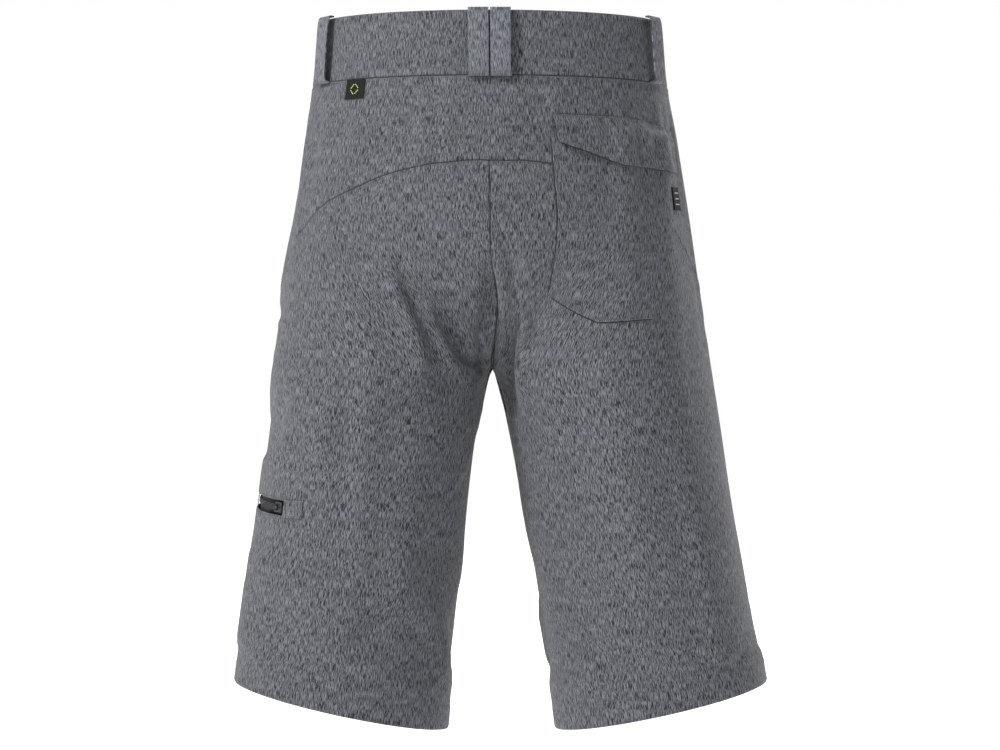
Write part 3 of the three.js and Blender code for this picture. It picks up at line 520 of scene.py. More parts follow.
class Finish:
    """One material, with the shader's constant sockets set by name."""

    def __init__(self, name, **sockets):
        self.material = bpy.data.materials.new(name)
        self.material.use_nodes = True
        self.tree = self.material.node_tree
        self.shader = self.tree.nodes["Principled BSDF"]
        self.set(**sockets)

    def set(self, **sockets):
        for name, value in sockets.items():
            self.join(value, self.shader.inputs[name.replace("_", " ")])

    def join(self, value, socket):
        if isinstance(value, Wire):
            self.tree.links.new(value.socket, socket)
        elif isinstance(value, tuple) and len(value) == 3 and socket.type == "RGBA":
            socket.default_value = (*value, 1)
        else:
            socket.default_value = value

    def node(self, kind, settings=None, sockets=None, output=0):
        made = self.tree.nodes.new(kind)
        for name, value in (settings or {}).items():
            setattr(made, name, value)
        for name, value in (sockets or {}).items():
            self.join(value, made.inputs[name])
        return Wire(self, made.outputs[output])

    def grain(self, across=1.0, down=1.0):
        """Where the cloth is, in metres round and up, counted in so many steps a metre."""
        place = self.node("ShaderNodeAttribute", {"attribute_name": "grain"}, {}, "Vector")
        return self.node(
            "ShaderNodeVectorMath", {"operation": "MULTIPLY"}, {0: place, 1: (across, down, 1)}
        )

    def place(self, x=1.0, y=1.0, z=1.0):
        spot = self.node("ShaderNodeTexCoord", {}, {}, "Object")
        return self.node("ShaderNodeVectorMath", {"operation": "MULTIPLY"}, {0: spot, 1: (x, y, z)})

    def noise(self, vector, detail=1.0, flat=False, rough=0.5):
        settings = {"noise_dimensions": "2D" if flat else "3D"}
        sockets = {"Vector": vector, "Scale": 1.0, "Detail": detail, "Roughness": rough}
        return self.node("ShaderNodeTexNoise", settings, sockets)

    def apart(self, vector):
        """The x, y and z of a vector."""
        made = self.node("ShaderNodeSeparateXYZ", {}, {0: vector}).socket.node
        return [Wire(self, made.outputs[k]) for k in range(3)]

    def between(self, share, first, second):
        settings = {"data_type": "RGBA", "clamp_factor": True}
        return self.node("ShaderNodeMix", settings, {0: share, 6: first, 7: second}, 2)

    def bump(self, height, distance, strength=1.0):
        sockets = {"Height": height, "Distance": distance, "Strength": strength}
        self.set(Normal=self.node("ShaderNodeBump", {}, sockets))


def melange(name, dark, light, contrast=1.0):
    """Woven cloth of dark and light yarns: short upright streaks over a fine weave."""
    cloth = Finish(name, Sheen_Weight=0.12, Sheen_Roughness=0.5, Specular_IOR_Level=0.25)
    streak = cloth.noise(cloth.grain(1900, 120), 1.0, True)
    fleck = cloth.noise(cloth.grain(3200, 260), 1.0, True)
    mottle = cloth.noise(cloth.grain(46, 24), 2.0, True)
    tint = cloth.noise(cloth.grain(1400, 240), 0.0, True)
    share = (streak - 0.5) * (4.2 * contrast) + (fleck - 0.5) * (3.8 * contrast)
    share = (share + (mottle - 0.5) * 0.25 + 0.46).kept()
    blue = (tint * 3 - 1).kept()
    low = cloth.between(blue, dark, (dark[0] * 0.93, dark[1] * 0.98, dark[2] * 1.16))
    high = cloth.between(blue, light, (light[0] * 0.95, light[1] * 0.99, light[2] * 1.08))
    cloth.set(Base_Color=cloth.between(share, low, high), Roughness=0.92 - share * 0.1)
    x, y, _ = cloth.apart(cloth.grain(9000, 9000))
    weave = (x + y * 0.5).sine() * y.sine()
    cloth.bump(streak * 0.7 + fleck * 0.4 + weave * 0.16, 0.25 * MM, 0.55)
    return cloth.material


def lining_cloth():
    cloth = Finish("lining_cloth", Sheen_Weight=0.2, Specular_IOR_Level=0.3)
    x, y, _ = cloth.apart(cloth.grain(7000, 7000))
    weave = (x + y).sine() * 0.5 + 0.5
    soft = cloth.noise(cloth.grain(60, 40), 2.0, True)
    share = (weave * 0.3 + soft * 0.9 - 0.1).kept()
    cloth.set(Base_Color=cloth.between(share, (0.017, 0.018, 0.02), (0.045, 0.047, 0.051)))
    cloth.set(Roughness=0.9 - soft * 0.15)
    cloth.bump(weave * 0.4 + soft, 0.15 * MM, 0.6)
    return cloth.material


def knitted_mesh():
    """Open knitted netting with rows of round holes."""
    cloth = Finish("knitted_mesh", Sheen_Weight=0.15)
    holes = cloth.node(
        "ShaderNodeTexVoronoi", {"voronoi_dimensions": "2D", "feature": "F1"},
        {"Vector": cloth.grain(520, 440), "Scale": 1.0, "Randomness": 0.12}, "Distance",
    )
    yarn = cloth.noise(cloth.grain(2600, 2600), 1.0, True)
    cloth.set(Base_Color=cloth.between(yarn, (0.03, 0.032, 0.036), (0.075, 0.08, 0.088)))
    cloth.set(Roughness=0.8 + yarn * 0.15, Alpha=holes > 0.3)
    cloth.bump(holes * 0.5 + yarn * 0.5, 0.3 * MM, 0.7)
    return cloth.material


def zip_tape():
    """Ribbed black tape."""
    tape = Finish("zip_tape", Specular_IOR_Level=0.35)
    x, y, z = tape.apart(tape.place(5200, 5200, 5200))
    rib = (z + x * 0.4).sine() * (y + x).sine() * 0.5 + 0.5
    worn = tape.noise(tape.place(180, 180, 180), 2.0)
    share = (rib * 0.45 + worn * 0.5).kept()
    tape.set(Base_Color=tape.between(share, (0.010, 0.0105, 0.011), (0.034, 0.036, 0.037)))
    tape.set(Roughness=0.62 + worn * 0.25)
    tape.bump(rib, 0.12 * MM, 0.6)
    return tape.material


def moulded(name, dark, light, roughness, metallic=0.0, coat=0.0):
    """Hard parts: painted metal or plastic, a little scuffed where they are handled."""
    part = Finish(name, Metallic=metallic, Coat_Weight=coat, Coat_Roughness=0.25)
    scuff = part.noise(part.place(900, 900, 900), 3.0)
    cloudy = part.noise(part.place(160, 160, 160), 1.0)
    share = ((scuff - 0.5) * 2.4 + cloudy * 0.6 + 0.2).kept()
    part.set(Base_Color=part.between(share, dark, light), Roughness=roughness + scuff * 0.22)
    part.bump(scuff, 0.05 * MM, 0.35)
    return part.material


def cord_cover():
    """Braided sleeve on the zip pulls."""
    cord = Finish("puller_cord", Specular_IOR_Level=0.3)
    x, y, z = cord.apart(cord.place(4200, 4200, 4200))
    braid = (z + x).sine() * (z - x + y * 0.3).sine() * 0.5 + 0.5
    cord.set(Base_Color=cord.between(braid, (0.008, 0.008, 0.009), (0.04, 0.041, 0.043)))
    cord.set(Roughness=0.55 + braid * 0.3)
    cord.bump(braid, 0.2 * MM, 0.8)
    return cord.material


def grip_pile():
    """Hook and loop tape: a dense short pile."""
    pile = Finish("grip_tape", Sheen_Weight=0.4)
    dots = pile.node(
        "ShaderNodeTexVoronoi", {"feature": "F1"},
        {"Vector": pile.place(1500, 1500, 1500), "Scale": 1.0}, "Distance",
    )
    pile.set(Base_Color=pile.between(dots, (0.05, 0.051, 0.054), (0.012, 0.0125, 0.013)))
    pile.set(Roughness=0.7 + dots * 0.25)
    pile.bump(1 - dots, 0.5 * MM, 0.9)
    return pile.material


def woven_label(name, dark, light):
    """Fine satin ground of a woven label."""
    label = Finish(name, Specular_IOR_Level=0.15)
    x, y, _ = label.apart(label.grain(11000, 11000))
    thread = (y.sine() * 0.5 + 0.5) * 0.7 + (x.sine() * 0.5 + 0.5) * 0.3
    fuzz = label.noise(label.grain(900, 900), 2.0, True)
    share = (thread * 0.5 + fuzz * 0.5).kept()
    label.set(Base_Color=label.between(share, dark, light), Roughness=0.55 + fuzz * 0.3)
    label.bump(thread, 0.08 * MM, 0.6)
    return label.material


def thread_finish(name, dark, light):
    thread = Finish(name, Sheen_Weight=0.2)
    ply = thread.noise(thread.place(3800, 3800, 3800), 1.0)
    thread.set(Base_Color=thread.between(ply, dark, light), Roughness=0.6 + ply * 0.3)
    thread.bump(ply, 0.1 * MM, 0.8)
    return thread.material


def soft_foam():
    """Closed-cell foam with fine pores and a slightly glossy skin."""
    foam = Finish("pad_foam", Specular_IOR_Level=0.35)
    pores = foam.node(
        "ShaderNodeTexVoronoi", {"feature": "F1"},
        {"Vector": foam.place(900, 900, 900), "Scale": 1.0}, "Distance",
    )
    cloudy = foam.noise(foam.place(70, 70, 70), 2.0)
    share = (pores * 0.7 + cloudy * 0.5).kept()
    foam.set(Base_Color=foam.between(share, (0.022, 0.034, 0.056), (0.062, 0.085, 0.125)))
    foam.set(Roughness=0.6 + pores * 0.3)
    foam.bump(pores, 0.3 * MM, 0.6)
    return foam.material


FINISHES = dict(
    shell=melange("shell_cloth", (0.015, 0.016, 0.018), (0.168, 0.172, 0.182)),
    # The belt loops' cloth: the shell's melange painted lighter, a painted highlight for loops that
    # stand off the band and catch the light.
    loop=melange("loop_cloth", (0.042, 0.044, 0.049), (0.215, 0.220, 0.236), 0.8),
    lining=lining_cloth(),
    mesh=knitted_mesh(),
    tape=zip_tape(),
    coil=moulded("zip_coil", (0.008, 0.008, 0.009), (0.03, 0.03, 0.032), 0.4),
    metal=moulded("zip_metal", (0.035, 0.036, 0.038), (0.16, 0.165, 0.17), 0.28, 0.85, 0.3),
    cord=cord_cover(),
    grip=grip_pile(),
    black_label=woven_label("black_label", (0.003, 0.0032, 0.0035), (0.011, 0.0115, 0.012)),
    green_label=woven_label("waist_label", (0.004, 0.005, 0.0035), (0.014, 0.016, 0.012)),
    green_thread=thread_finish("green_thread", (0.38, 0.52, 0.10), (0.68, 0.80, 0.28)),
    white_thread=thread_finish("white_thread", (0.55, 0.56, 0.56), (0.85, 0.85, 0.85)),
    # Painted shade: near-black cord colour, laid in the seam grooves and beside the pocket and flap
    # edges where shadow falls.
    painted_shade_thread=thread_finish("painted_shade_thread", (0.003, 0.003, 0.0035), (0.012, 0.012, 0.013)),
    shell_thread=thread_finish("shell_thread", (0.035, 0.037, 0.042), (0.10, 0.105, 0.115)),
    foam=soft_foam(),
)


# ---- Making pieces ----------------------------------------------------------------------------
def level(u, z):
    return level_at(np.abs(u), z)


def shares(length, pitch=3 * MM, near=(True, True)):
    """Steps along a stretch of cloth, finer beside an end that is sewn or folded."""
    close = np.array([0, 0.35, 0.8, 1.4, 2.2, 3.4]) * MM / length
    t = np.linspace(0, 1, max(2, round(length / pitch)) + 1)
    if near[0]:
        t = np.concatenate([close, t[t > 1.4 * close[-1]]])
    if near[1]:
        t = np.concatenate([t[t < 1 - 1.4 * close[-1]], 1 - close[::-1]])
    return t


def rows_through(stops, steps):
    """Rows of levels from stop to stop, where each stop is one level for each column."""
    rows = [mix(stops[0], stops[1], t) for t in steps[0]]
    for top, bottom, some in zip(stops[1:], stops[2:], steps[1:]):
        rows += [mix(top, bottom, t) for t in some[1:]]
    return np.array(rows)


def dip(distance, depth=0.8 * MM, width=0.9 * MM):
    return -depth * np.exp(-((distance / width) ** 2))


def turned_edge(distance):
    """A folded edge with a row of stitches pulled in beside it."""
    return dip(distance, 0.45 * MM, 0.6 * MM) + dip(distance - 2 * MM, 0.25 * MM, 0.6 * MM)


def over_allowance(distance):
    """The small step in cloth that lies over a seam's turned-under edges."""
    return 0.4 * MM * (1 - smooth((distance - ALLOWANCE) / (2.5 * MM)))


def seam_edge(distance):
    """Cloth that is sewn to its neighbour and lies over both allowances."""
    return dip(distance) + over_allowance(distance)


def flat_size(points):
    """Greatest width, greatest length and area of a grid of points."""
    across = np.linalg.norm(np.diff(points, axis=1), axis=-1).sum(1).max()
    down = np.linalg.norm(np.diff(points, axis=0), axis=-1).sum(0).max()
    a, b = points[1:, 1:] - points[:-1, :-1], points[1:, :-1] - points[:-1, 1:]
    area = np.linalg.norm(np.cross(a, b), axis=-1).sum() / 2
    return float(across), float(down), float(area)


def slanted_size(grain):
    """Sides of the smallest rectangle of cloth that a slanting piece can be cut from."""
    flat = grain.reshape(-1, 2)
    found = []
    for turn in np.radians(np.arange(0, 90, 3)):
        c, s = math.cos(turn), math.sin(turn)
        sides = np.ptp(flat @ np.array([[c, -s], [s, c]]), axis=0)
        found.append((float(sides[0] * sides[1]), float(sides[0]), float(sides[1])))
    return min(found)[1:]


def show(name, mesh, finish, body=BODY, nodes=()):
    """A finished mesh as a piece that rides on a body and stands for CAD nodes."""
    piece = bpy.data.objects.new(name, mesh)
    bpy.context.scene.collection.objects.link(piece)
    mesh.materials.clear()
    mesh.materials.append(FINISHES[finish])
    mesh.polygons.foreach_set("use_smooth", np.ones(len(mesh.polygons), bool))
    if body:
        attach(piece, body)
    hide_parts(*nodes)
    return piece


def cloth_mesh(name, points, grain, cut=None):
    """A grid of cloth facing outwards. grain is where each point is on the roll of cloth, and cut
    marks the grid's squares that are left out."""
    bm = bmesh.new()
    layer = bm.verts.layers.float_vector.new("grain")
    verts = add_grid(bm, points)
    for vert, place in zip(verts, grain[::-1].reshape(-1, 2).tolist()):
        vert[layer] = (*place, 0)
    if cut is not None:
        bm.verts.index_update()
        across = points.shape[1]
        rows = points.shape[0]
        gone = []
        for face in bm.faces:
            first = min(v.index for v in face.verts)
            row, column = rows - 2 - first // across, first % across
            if cut[row, column]:
                gone.append(face)
        bmesh.ops.delete(bm, geom=gone, context="FACES")
    mesh = bpy.data.meshes.new(name)
    bm.to_mesh(mesh)
    bm.free()
    return mesh


def lay(
    name, s, v, lift=0.0, thick=CLOTH, finish="shell", side=0, cut=None, nodes=(),
    body=BODY, shift=0.0,
):
    """A piece of cloth laid on the body over a grid of s and v, its outer face lifted by lift."""
    s, v = np.broadcast_arrays(s, v)
    points, _ = skin(s, v, lift, side)
    grain = np.stack([s * GRAIN_TURN + shift, height_at(np.minimum(np.abs(s), 2 - np.abs(s)), v)], -1)
    mesh = cloth_mesh(name, points, grain, cut)
    piece = show(name, mesh, finish, body, nodes)
    wall = piece.modifiers.new("thickness", "SOLIDIFY")
    wall.thickness = thick
    wall.offset = -1
    wall.use_even_offset = False
    width, length, area = flat_size(surface(s, v))
    if min(width, length) > NARROW:
        if cut is not None:
            area *= 1 - cut.mean()
        if area < 0.36 * width * length:
            width, length = slanted_size(grain)
        area = min(area, width * length)
    return piece


def many(name, places, size, turns):
    """The same small rounded bar at many places, each place a matrix."""
    bm = bmesh.new()
    for first in range(0, len(places), BATCH):
        some = bmesh.new()
        for place in places[first : first + BATCH]:
            bmesh.ops.create_uvsphere(
                some, u_segments=turns[0], v_segments=turns[1], radius=1, matrix=place @ size
            )
        mesh = bpy.data.meshes.new("batch")
        some.to_mesh(mesh)
        some.free()
        bm.from_mesh(mesh)
        bpy.data.meshes.remove(mesh)
    mesh = bpy.data.meshes.new(name)
    bm.to_mesh(mesh)
    bm.free()
    return mesh


def sew(
    name, lines, finish="shell_thread", body=BODY, length=2.6 * MM, gap=1.1 * MM, radius=0.33 * MM,
):
    """Stitches along lines of points, each given with the cloth's outward directions."""
    places = []
    for points, out in lines:
        step = np.linalg.norm(np.diff(points, axis=0), axis=1)
        along = np.concatenate([[0], np.cumsum(step)])
        for at in np.arange(length, along[-1] - length / 2, length + gap):
            start, end = (
                np.array([np.interp(at + h * length / 2, along, points[:, k]) for k in range(3)])
                for h in (-1, 1)
            )
            middle = (start + end) / 2
            lead = Vector(unit(end - start))
            normal = Vector([np.interp(at, along, out[:, k]) for k in range(3)])
            beside = lead.cross(normal).normalized()
            normal = beside.cross(lead)
            turn = Matrix((beside, normal, lead)).transposed().to_4x4()
            places.append(Matrix.Translation(Vector(middle) + normal * radius * 0.35) @ turn)
    mesh = many(name, places, Matrix.Diagonal((radius, radius * 0.8, length / 2, 1)), (6, 4))
    return show(name, mesh, finish, body)


def seam_line(s, v, lift=0.0, side=0):
    s, v = np.broadcast_arrays(np.asarray(s, float), np.asarray(v, float))
    return skin(s, v, lift, side)


def softened(node, finish, edge=0.25 * MM, segments=2, body=BODY, name=None):
    """A CAD part with its hard edges eased."""
    bm = bmesh.new()
    bm.from_mesh(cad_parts[node].data)
    bmesh.ops.remove_doubles(bm, verts=bm.verts, dist=1e-6)
    bmesh.ops.dissolve_limit(
        bm, angle_limit=math.radians(2), verts=bm.verts, edges=bm.edges, use_dissolve_boundaries=False
    )
    sharp = [e for e in bm.edges if len(e.link_faces) == 2 and e.calc_face_angle(0) > math.radians(28)]
    bmesh.ops.bevel(
        bm, geom=sharp, offset=edge, offset_type="OFFSET", segments=segments, profile=0.5,
        affect="EDGES", clamp_overlap=True, material=-1,
    )
    bmesh.ops.triangulate(bm, faces=[f for f in bm.faces if len(f.verts) > 4])
    mesh = bpy.data.meshes.new(node)
    bm.to_mesh(mesh)
    bm.free()
    piece = show(name or node + "_finished", mesh, finish, body, (node,))
    corner = piece.modifiers.new("shading", "WEIGHTED_NORMAL")
    corner.keep_sharp = True
    return piece


def dress(node, finish):
    """A CAD part kept as it is, with its finish."""
    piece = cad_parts[node]
    piece.data.materials.clear()
    piece.data.materials.append(FINISHES[finish])


# ---- Shell ------------------------------------------------------------------------------------
def yoke_edge(u):
    return -mix(YOKE["middle"], YOKE["side"], np.minimum(u / YOKE["corner"], 1) ** YOKE["curve"])


def slant_edge(u):
    along = np.minimum((u - 0.5) / (SLANT["top"] - 0.5), 1)
    return mix(-SLANT["bottom"], top_edge(u) - BAND, along)


def leg_slot_levels(s):
    """The levels of the leg zip's two lips at each s."""
    u = np.abs(s)
    spot = surface(s, level_at(u, LEG_ZIP["z"]))
    middle = leg_zip_z(spot)
    return level_at(u, middle + LEG_ZIP["half_slot"]), level_at(u, middle - LEG_ZIP["half_slot"])


def columns_between(stops, pitch=3 * MM):
    """Places round the body from stop to stop, finer beside each stop."""
    parts = []
    for a, b in zip(stops, stops[1:]):
        part = mix(a, b, shares(abs(b - a) * GRAIN_TURN, pitch))
        parts.append(part if not parts else part[1:])
    return np.concatenate(parts)


def hem_profile(distance):
    edge = dip(distance, 0.7 * MM, 0.9 * MM) + dip(distance - HEM_TURN, 0.45 * MM, 1.0 * MM)
    return edge + 0.35 * MM * (1 - smooth((distance - HEM_TURN) / (3 * MM)))


def panel_lift(s, v, inner, top_kind):
    """Seams on all sides and the hem's fold at the bottom."""
    u = np.abs(s)
    z = height_at(u, v)
    from_top = z[:1] - z
    from_side = np.abs(u - 0.5) * GRAIN_TURN
    from_inner = np.abs(u - inner) * GRAIN_TURN
    # Where the two sides face each other under the seat, their seam stays shut.
    shut = smooth((v - 2.0) / 0.35) * (1 - smooth((v - 3.02) / 0.1))
    lift = top_kind(from_top) + dip(from_side) + dip(from_inner) * (1 - shut)
    lift = lift + over_allowance(from_side) * 0.7
    return lift + np.where(v > 3, hem_profile(z - height_at(u, 4.0)), 0)


def lip_lift(s, v, rear=LEG_ZIP["rear"], front=LEG_ZIP["front"]):
    """The turned lips of the leg zip's slot."""
    upper, lower = leg_slot_levels(s)
    u = np.abs(s)
    z = height_at(u, v)
    off = np.abs(z - (height_at(u, upper) + height_at(u, lower)) / 2) - LEG_ZIP["half_slot"]
    beyond = np.maximum(rear - u, u - front) * GRAIN_TURN
    return turned_edge(np.hypot(np.maximum(off, 0), np.maximum(beyond, 0)))


def build_panel(name, nodes, side, front):
    """One quarter of the shell, from its top seam to its hem, with the fly's and leg zip's slots."""
    gap = SEAM / GRAIN_TURN / 2
    inner = 1.0 if front else 0.0
    zip_end = LEG_ZIP["front"] if front else LEG_ZIP["rear"]
    u_stops = [0.5 + gap, zip_end, FLY["edge"], 1 - gap] if front else [gap, zip_end, 0.5 - gap]
    if side > 0:
        u_stops.remove(zip_end)
    s = np.sort(side * columns_between(u_stops))
    u = np.abs(s)
    edge = slant_edge(u) if front else yoke_edge(u)
    levels, steps = [level_at(u, edge - SEAM / 2)], []
    if front:
        fly_end = np.minimum(-FLY["bottom"] - 2 * MM, edge - 15 * MM)
        levels.append(level_at(u, fly_end))
        steps.append(shares(0.12))
    levels.append(np.full(u.shape, 3.0))
    steps.append(shares(0.15, near=(True, False)))
    if side < 0:
        upper, lower = leg_slot_levels(s)
        levels += [np.maximum(upper, 3.001), np.maximum(lower, 3.01)]
        steps.append(shares(0.06, near=(False, True)))
        steps.append(shares(2 * LEG_ZIP["half_slot"], near=(False, False)))
    levels.append(np.full(u.shape, 4.0))
    steps.append(shares(0.17 if side < 0 else 0.24, near=(side < 0, True)))
    v = rows_through(levels, steps)
    grid_s = np.broadcast_to(s, v.shape)
    lift = panel_lift(grid_s, v, inner, turned_edge if front else seam_edge)
    cut = np.zeros((v.shape[0] - 1, v.shape[1] - 1), bool)
    middle_u = (u[1:] + u[:-1]) / 2
    if front:
        fly_rows = len(steps[0]) - 1
        cut[:fly_rows] |= middle_u > FLY["edge"]
        from_fly = np.maximum(FLY["edge"] - np.abs(grid_s), 0) * GRAIN_TURN
        lift = lift + turned_edge(from_fly) * (v <= v[fly_rows])
    if side < 0:
        before = sum(len(some) - 1 for some in steps[:-2])
        count = len(steps[-2]) - 1
        inside = (middle_u > LEG_ZIP["rear"]) & (middle_u < LEG_ZIP["front"])
        cut[before : before + count] |= inside
        lift = lift + lip_lift(grid_s, v)
    shift = 0.07 * side + 0.31 * front
    lay(name, s, v, lift, side=side, cut=cut, nodes=nodes, shift=shift)


def build_shell():
    span = 0.5 - SEAM / GRAIN_TURN / 2
    s = columns_between([-span, 0, span])
    top = np.full(s.shape, 1.0) + SEAM / BAND / 2
    low = level(s, yoke_edge(np.abs(s)) + SEAM / 2)
    v = rows_through([top, low], [shares(0.11)])
    z = height_at(np.abs(s), v)
    lift = dip(z[:1] - z) + over_allowance(z[:1] - z) * 0.6 + dip(z - z[-1:])
    lift = lift + dip((0.5 - np.abs(s)) * GRAIN_TURN)
    lay("back_yoke_cloth", s, v, lift, nodes=("back_yoke",), shift=0.17)
    for name, side in (("left", -1), ("right", 1)):
        build_panel(f"back_panel_{name}_cloth", (f"back_panel_{name}",), side, False)
        build_panel(f"front_panel_{name}_cloth", (f"front_panel_{name}",), side, True)


def build_band():
    gap = 0.5 * MM / GRAIN_TURN
    s = columns_between([-1 + gap, -0.5, 0, 0.5, 1 - gap])
    v = rows_through([np.zeros(s.shape), np.full(s.shape, 1 - SEAM / BAND / 2)], [shares(BAND)])
    z = height_at(np.abs(s), v)
    soft = 0.35 * MM * np.sin(s * 41 + 3 * np.sin(s * 17)) * np.sin(v * math.pi)
    roll = dip(z[:1] - z, 0.9 * MM, 1.2 * MM) + dip(z - z[-1:])
    lift = 0.2 * MM + roll + soft
    lay("waistband_cloth", s, v, lift, nodes=("waistband",), shift=0.43)
    inside = rows_through([np.full(s.shape, 0.012), np.full(s.shape, 0.99)], [shares(BAND, 4 * MM)])
    facing = -1.6 * MM + soft[: len(inside)].mean() + 0 * inside
    lay(
        "waistband_facing_cloth", s, inside, facing, finish="lining", nodes=("waistband_facing",),
    )


# ---- Edges inside the shell -------------------------------------------------------------------
BINDING = 0.5 * MM


def binding_rows(columns, top, bottom, length):
    stops = [np.full(columns, top), np.full(columns, bottom)]
    return rows_through(stops, [shares(length, 4 * MM, (False, False))])


def build_inside_edges():
    """Bound seam allowances and the hems' turned-up cloth, against the shell's inside."""
    under = -CLOTH - 0.15 * MM
    half = ALLOWANCE / GRAIN_TURN
    across = np.linspace(-1, 1, 7)
    for name, side in (("left", -1), ("right", 1)):
        s = np.sort(side * (0.5 + across * half))
        cut = None
        v = binding_rows(7, 1.02, 3.93, 0.52)
        if side < 0:
            spot = surface(s, v)
            clear = np.abs(spot[..., 2] - leg_zip_z(spot)) < 22 * MM
            cut = clear[1:, 1:] | clear[:-1, :-1]
        lay(
            f"side_seam_binding_{name}", s, v, under, BINDING, "lining", side, cut=cut,
        )
        for part, at, way in (("back", 0.0, 1), ("front", 1.0, -1)):
            u = at + way * np.linspace(0.0008, 1, 5) * half
            s = np.sort(side * u)
            v = binding_rows(5, 1.9 if part == "back" else 2.45, 3.93, 0.45)
            lay(
                f"inner_seam_binding_{part}_{name}", s, v, under, BINDING, "lining", side,
            )
            first = 0.0 if part == "back" else 0.5
            s = np.sort(side * (first + np.linspace(0.0012, 0.4988, 90)))
            top = level_at(np.abs(s), hem_edge(np.abs(s)) + HEM_TURN)
            v = rows_through([top, np.full(s.shape, 4.0)], [shares(HEM_TURN, near=(False, True))])
            drop = height_at(np.abs(s), v) - hem_edge(np.abs(s))
            lift = under - 0.1 * MM + dip(drop, -0.5 * MM)
            lay(f"hem_turn_{part}_{name}", s, v, lift, CLOTH * 0.8, "shell", side, shift=0.9)
    for part, s, top in (("back", 0.0, 1.85), ("front", 1.0, 2.42)):
        v = np.linspace(top, 3.0, 90)
        s = np.full(v.shape, s)
        _, out = skin(s, v)
        out = unit(out * [0, 1, 1])
        edge = surface(s, v)
        moved = (hang(s, v) + hang(-s - 1e-6, v)) / 2 + sway(edge)
        free = still(s, v, edge)
        rib = edge + moved * free[:, None] + out * (fold_height(s, edge) * free)[:, None]
        depth = np.linspace(-0.4, -8, 5) * MM
        points = rib[:, None] + out[:, None] * depth[None, :, None]
        grain = np.stack(np.broadcast_arrays(depth[None, :] + 0.2, rib[:, None, 2]), -1)
        mesh = cloth_mesh(f"centre_seam_allowance_{part}", points, grain)
        fold = show(mesh.name, mesh, "shell", BODY, ())
        wall = fold.modifiers.new("thickness", "SOLIDIFY")
        wall.thickness, wall.offset = 1.2 * MM, 0
    s = np.linspace(-0.492, 0.492, 200)
    top = level(s, yoke_edge(np.abs(s)) + ALLOWANCE)
    low = level(s, yoke_edge(np.abs(s)) - ALLOWANCE)
    v = rows_through([top, low], [np.linspace(0, 1, 6)])
    lay("yoke_seam_binding", s, v, under - 0.6 * MM, BINDING, "lining")


# ---- Pockets ----------------------------------------------------------------------------------
def flap_top(a):
    return FLAP["top"] - FLAP["fall"] * smooth((a - 0.3) / 0.7)


def flap_height(a):
    left, peak, right = (FLAP[k] for k in ("left_height", "corner_height", "right_height"))
    rising = mix(left, peak, a / FLAP["corner"])
    falling = mix(peak, right, (a - FLAP["corner"]) / (1 - FLAP["corner"]))
    # The two stretches meet in a small round corner.
    return (rising + falling - np.sqrt((rising - falling) ** 2 + (0.8 * MM) ** 2)) / 2


def flap_grid(a, b):
    a, b = np.meshgrid(a, b)
    left, right = mix(FLAP["left"], FLAP["bottom_left"], b), mix(FLAP["right"], FLAP["bottom_right"], b)
    s = mix(left, right, a)
    return a, b, s, level_at(s, flap_top(a) - flap_height(a) * b)


POCKET_LOW = 0.8 * MM
POCKET_THICK = 0.9 * MM
FLAP_LOW = POCKET_LOW + POCKET_THICK + 0.4 * MM + 0.6 * MM + 0.4 * MM + 0.6 * MM + 0.4 * MM


def flap_lift(a, b):
    """Lifted over the pocket and its tapes, and lying lower where the flap runs to the side."""
    high = mix(FLAP_LOW, 2.6 * MM, smooth((np.asarray(a, float) - 0.78) / 0.2))
    return mix(0.4 * MM, high, smooth(b / 0.3))


def pocket_grid(a, b):
    a, b = np.meshgrid(a, b)
    left = mix(POCKET["left"], POCKET["bottom_left"], b)
    s = mix(left, mix(POCKET["right"], POCKET["bottom_right"], b), a)
    along = np.clip((s - FLAP["left"]) / (FLAP["right"] - FLAP["left"]), 0, 1)
    top = flap_top(along) - flap_height(along) * 0.48
    z = POCKET["z"]
    first = mix(z[0], z[1], a / POCKET["middle"])
    second = mix(z[1], z[2], (a - POCKET["middle"]) / (1 - POCKET["middle"]))
    bottom = np.where(a < POCKET["middle"], first, second)
    return a, b, s, level_at(s, mix(top, bottom, b))


def edge_distance(a, b, width, height):
    return np.minimum.reduce([a * width, (1 - a) * width, b * height, (1 - b) * height])


STITCH_INSET = 2 * MM
SHADE_CORD = dict(finish="painted_shade_thread", length=5 * MM, gap=-2 * MM)  # near-black cord drawn without gaps: painted shade in seam grooves and along edges


def build_back_pocket():
    """The patch pocket, its row of stitches, and a near-black cord just outside its edges that paints
    the edges' shadow.
    """
    width, height = 0.115, 0.145
    a, b, s, v = pocket_grid(shares(width, 2.5 * MM), shares(height, 2.5 * MM))
    off = edge_distance(a, b, width, height)
    belly = 0.8 * MM * np.sin(math.pi * a) * np.sin(math.pi * np.clip(b * 1.1, 0, 1)) ** 2
    lift = POCKET_LOW + POCKET_THICK + turned_edge(off) + belly
    lay(
        "back_pocket_cloth", s, v, lift, POCKET_THICK + 0.4 * MM, nodes=("back_pocket",),
        shift=0.63,
    )
    face = POCKET_LOW + POCKET_THICK
    inset = STITCH_INSET / width
    low = 1 - STITCH_INSET / height
    lines = [grid_line(pocket_grid, a_at, (0.04, low), face - 0.45 * MM) for a_at in (inset, 1 - inset)]
    lines.append(grid_line(pocket_grid, (inset, 1 - inset), low, face - 0.1 * MM))
    sew("back_pocket_stitches", lines)
    # Painted shadow: a dark cord just outside the pocket's sides and bottom, where the edge casts shade
    # on the shell.
    beyond = 0.5 * MM
    ends = (-beyond / width, 1 + beyond / width)
    lines = [grid_line(pocket_grid, a_at, (0.04, 1), 0.35 * MM) for a_at in ends]
    lines.append(grid_line(pocket_grid, (0, 1), 1 + beyond / height, 0.35 * MM))
    sew("back_pocket_seam", lines, radius=0.5 * MM, **SHADE_CORD)


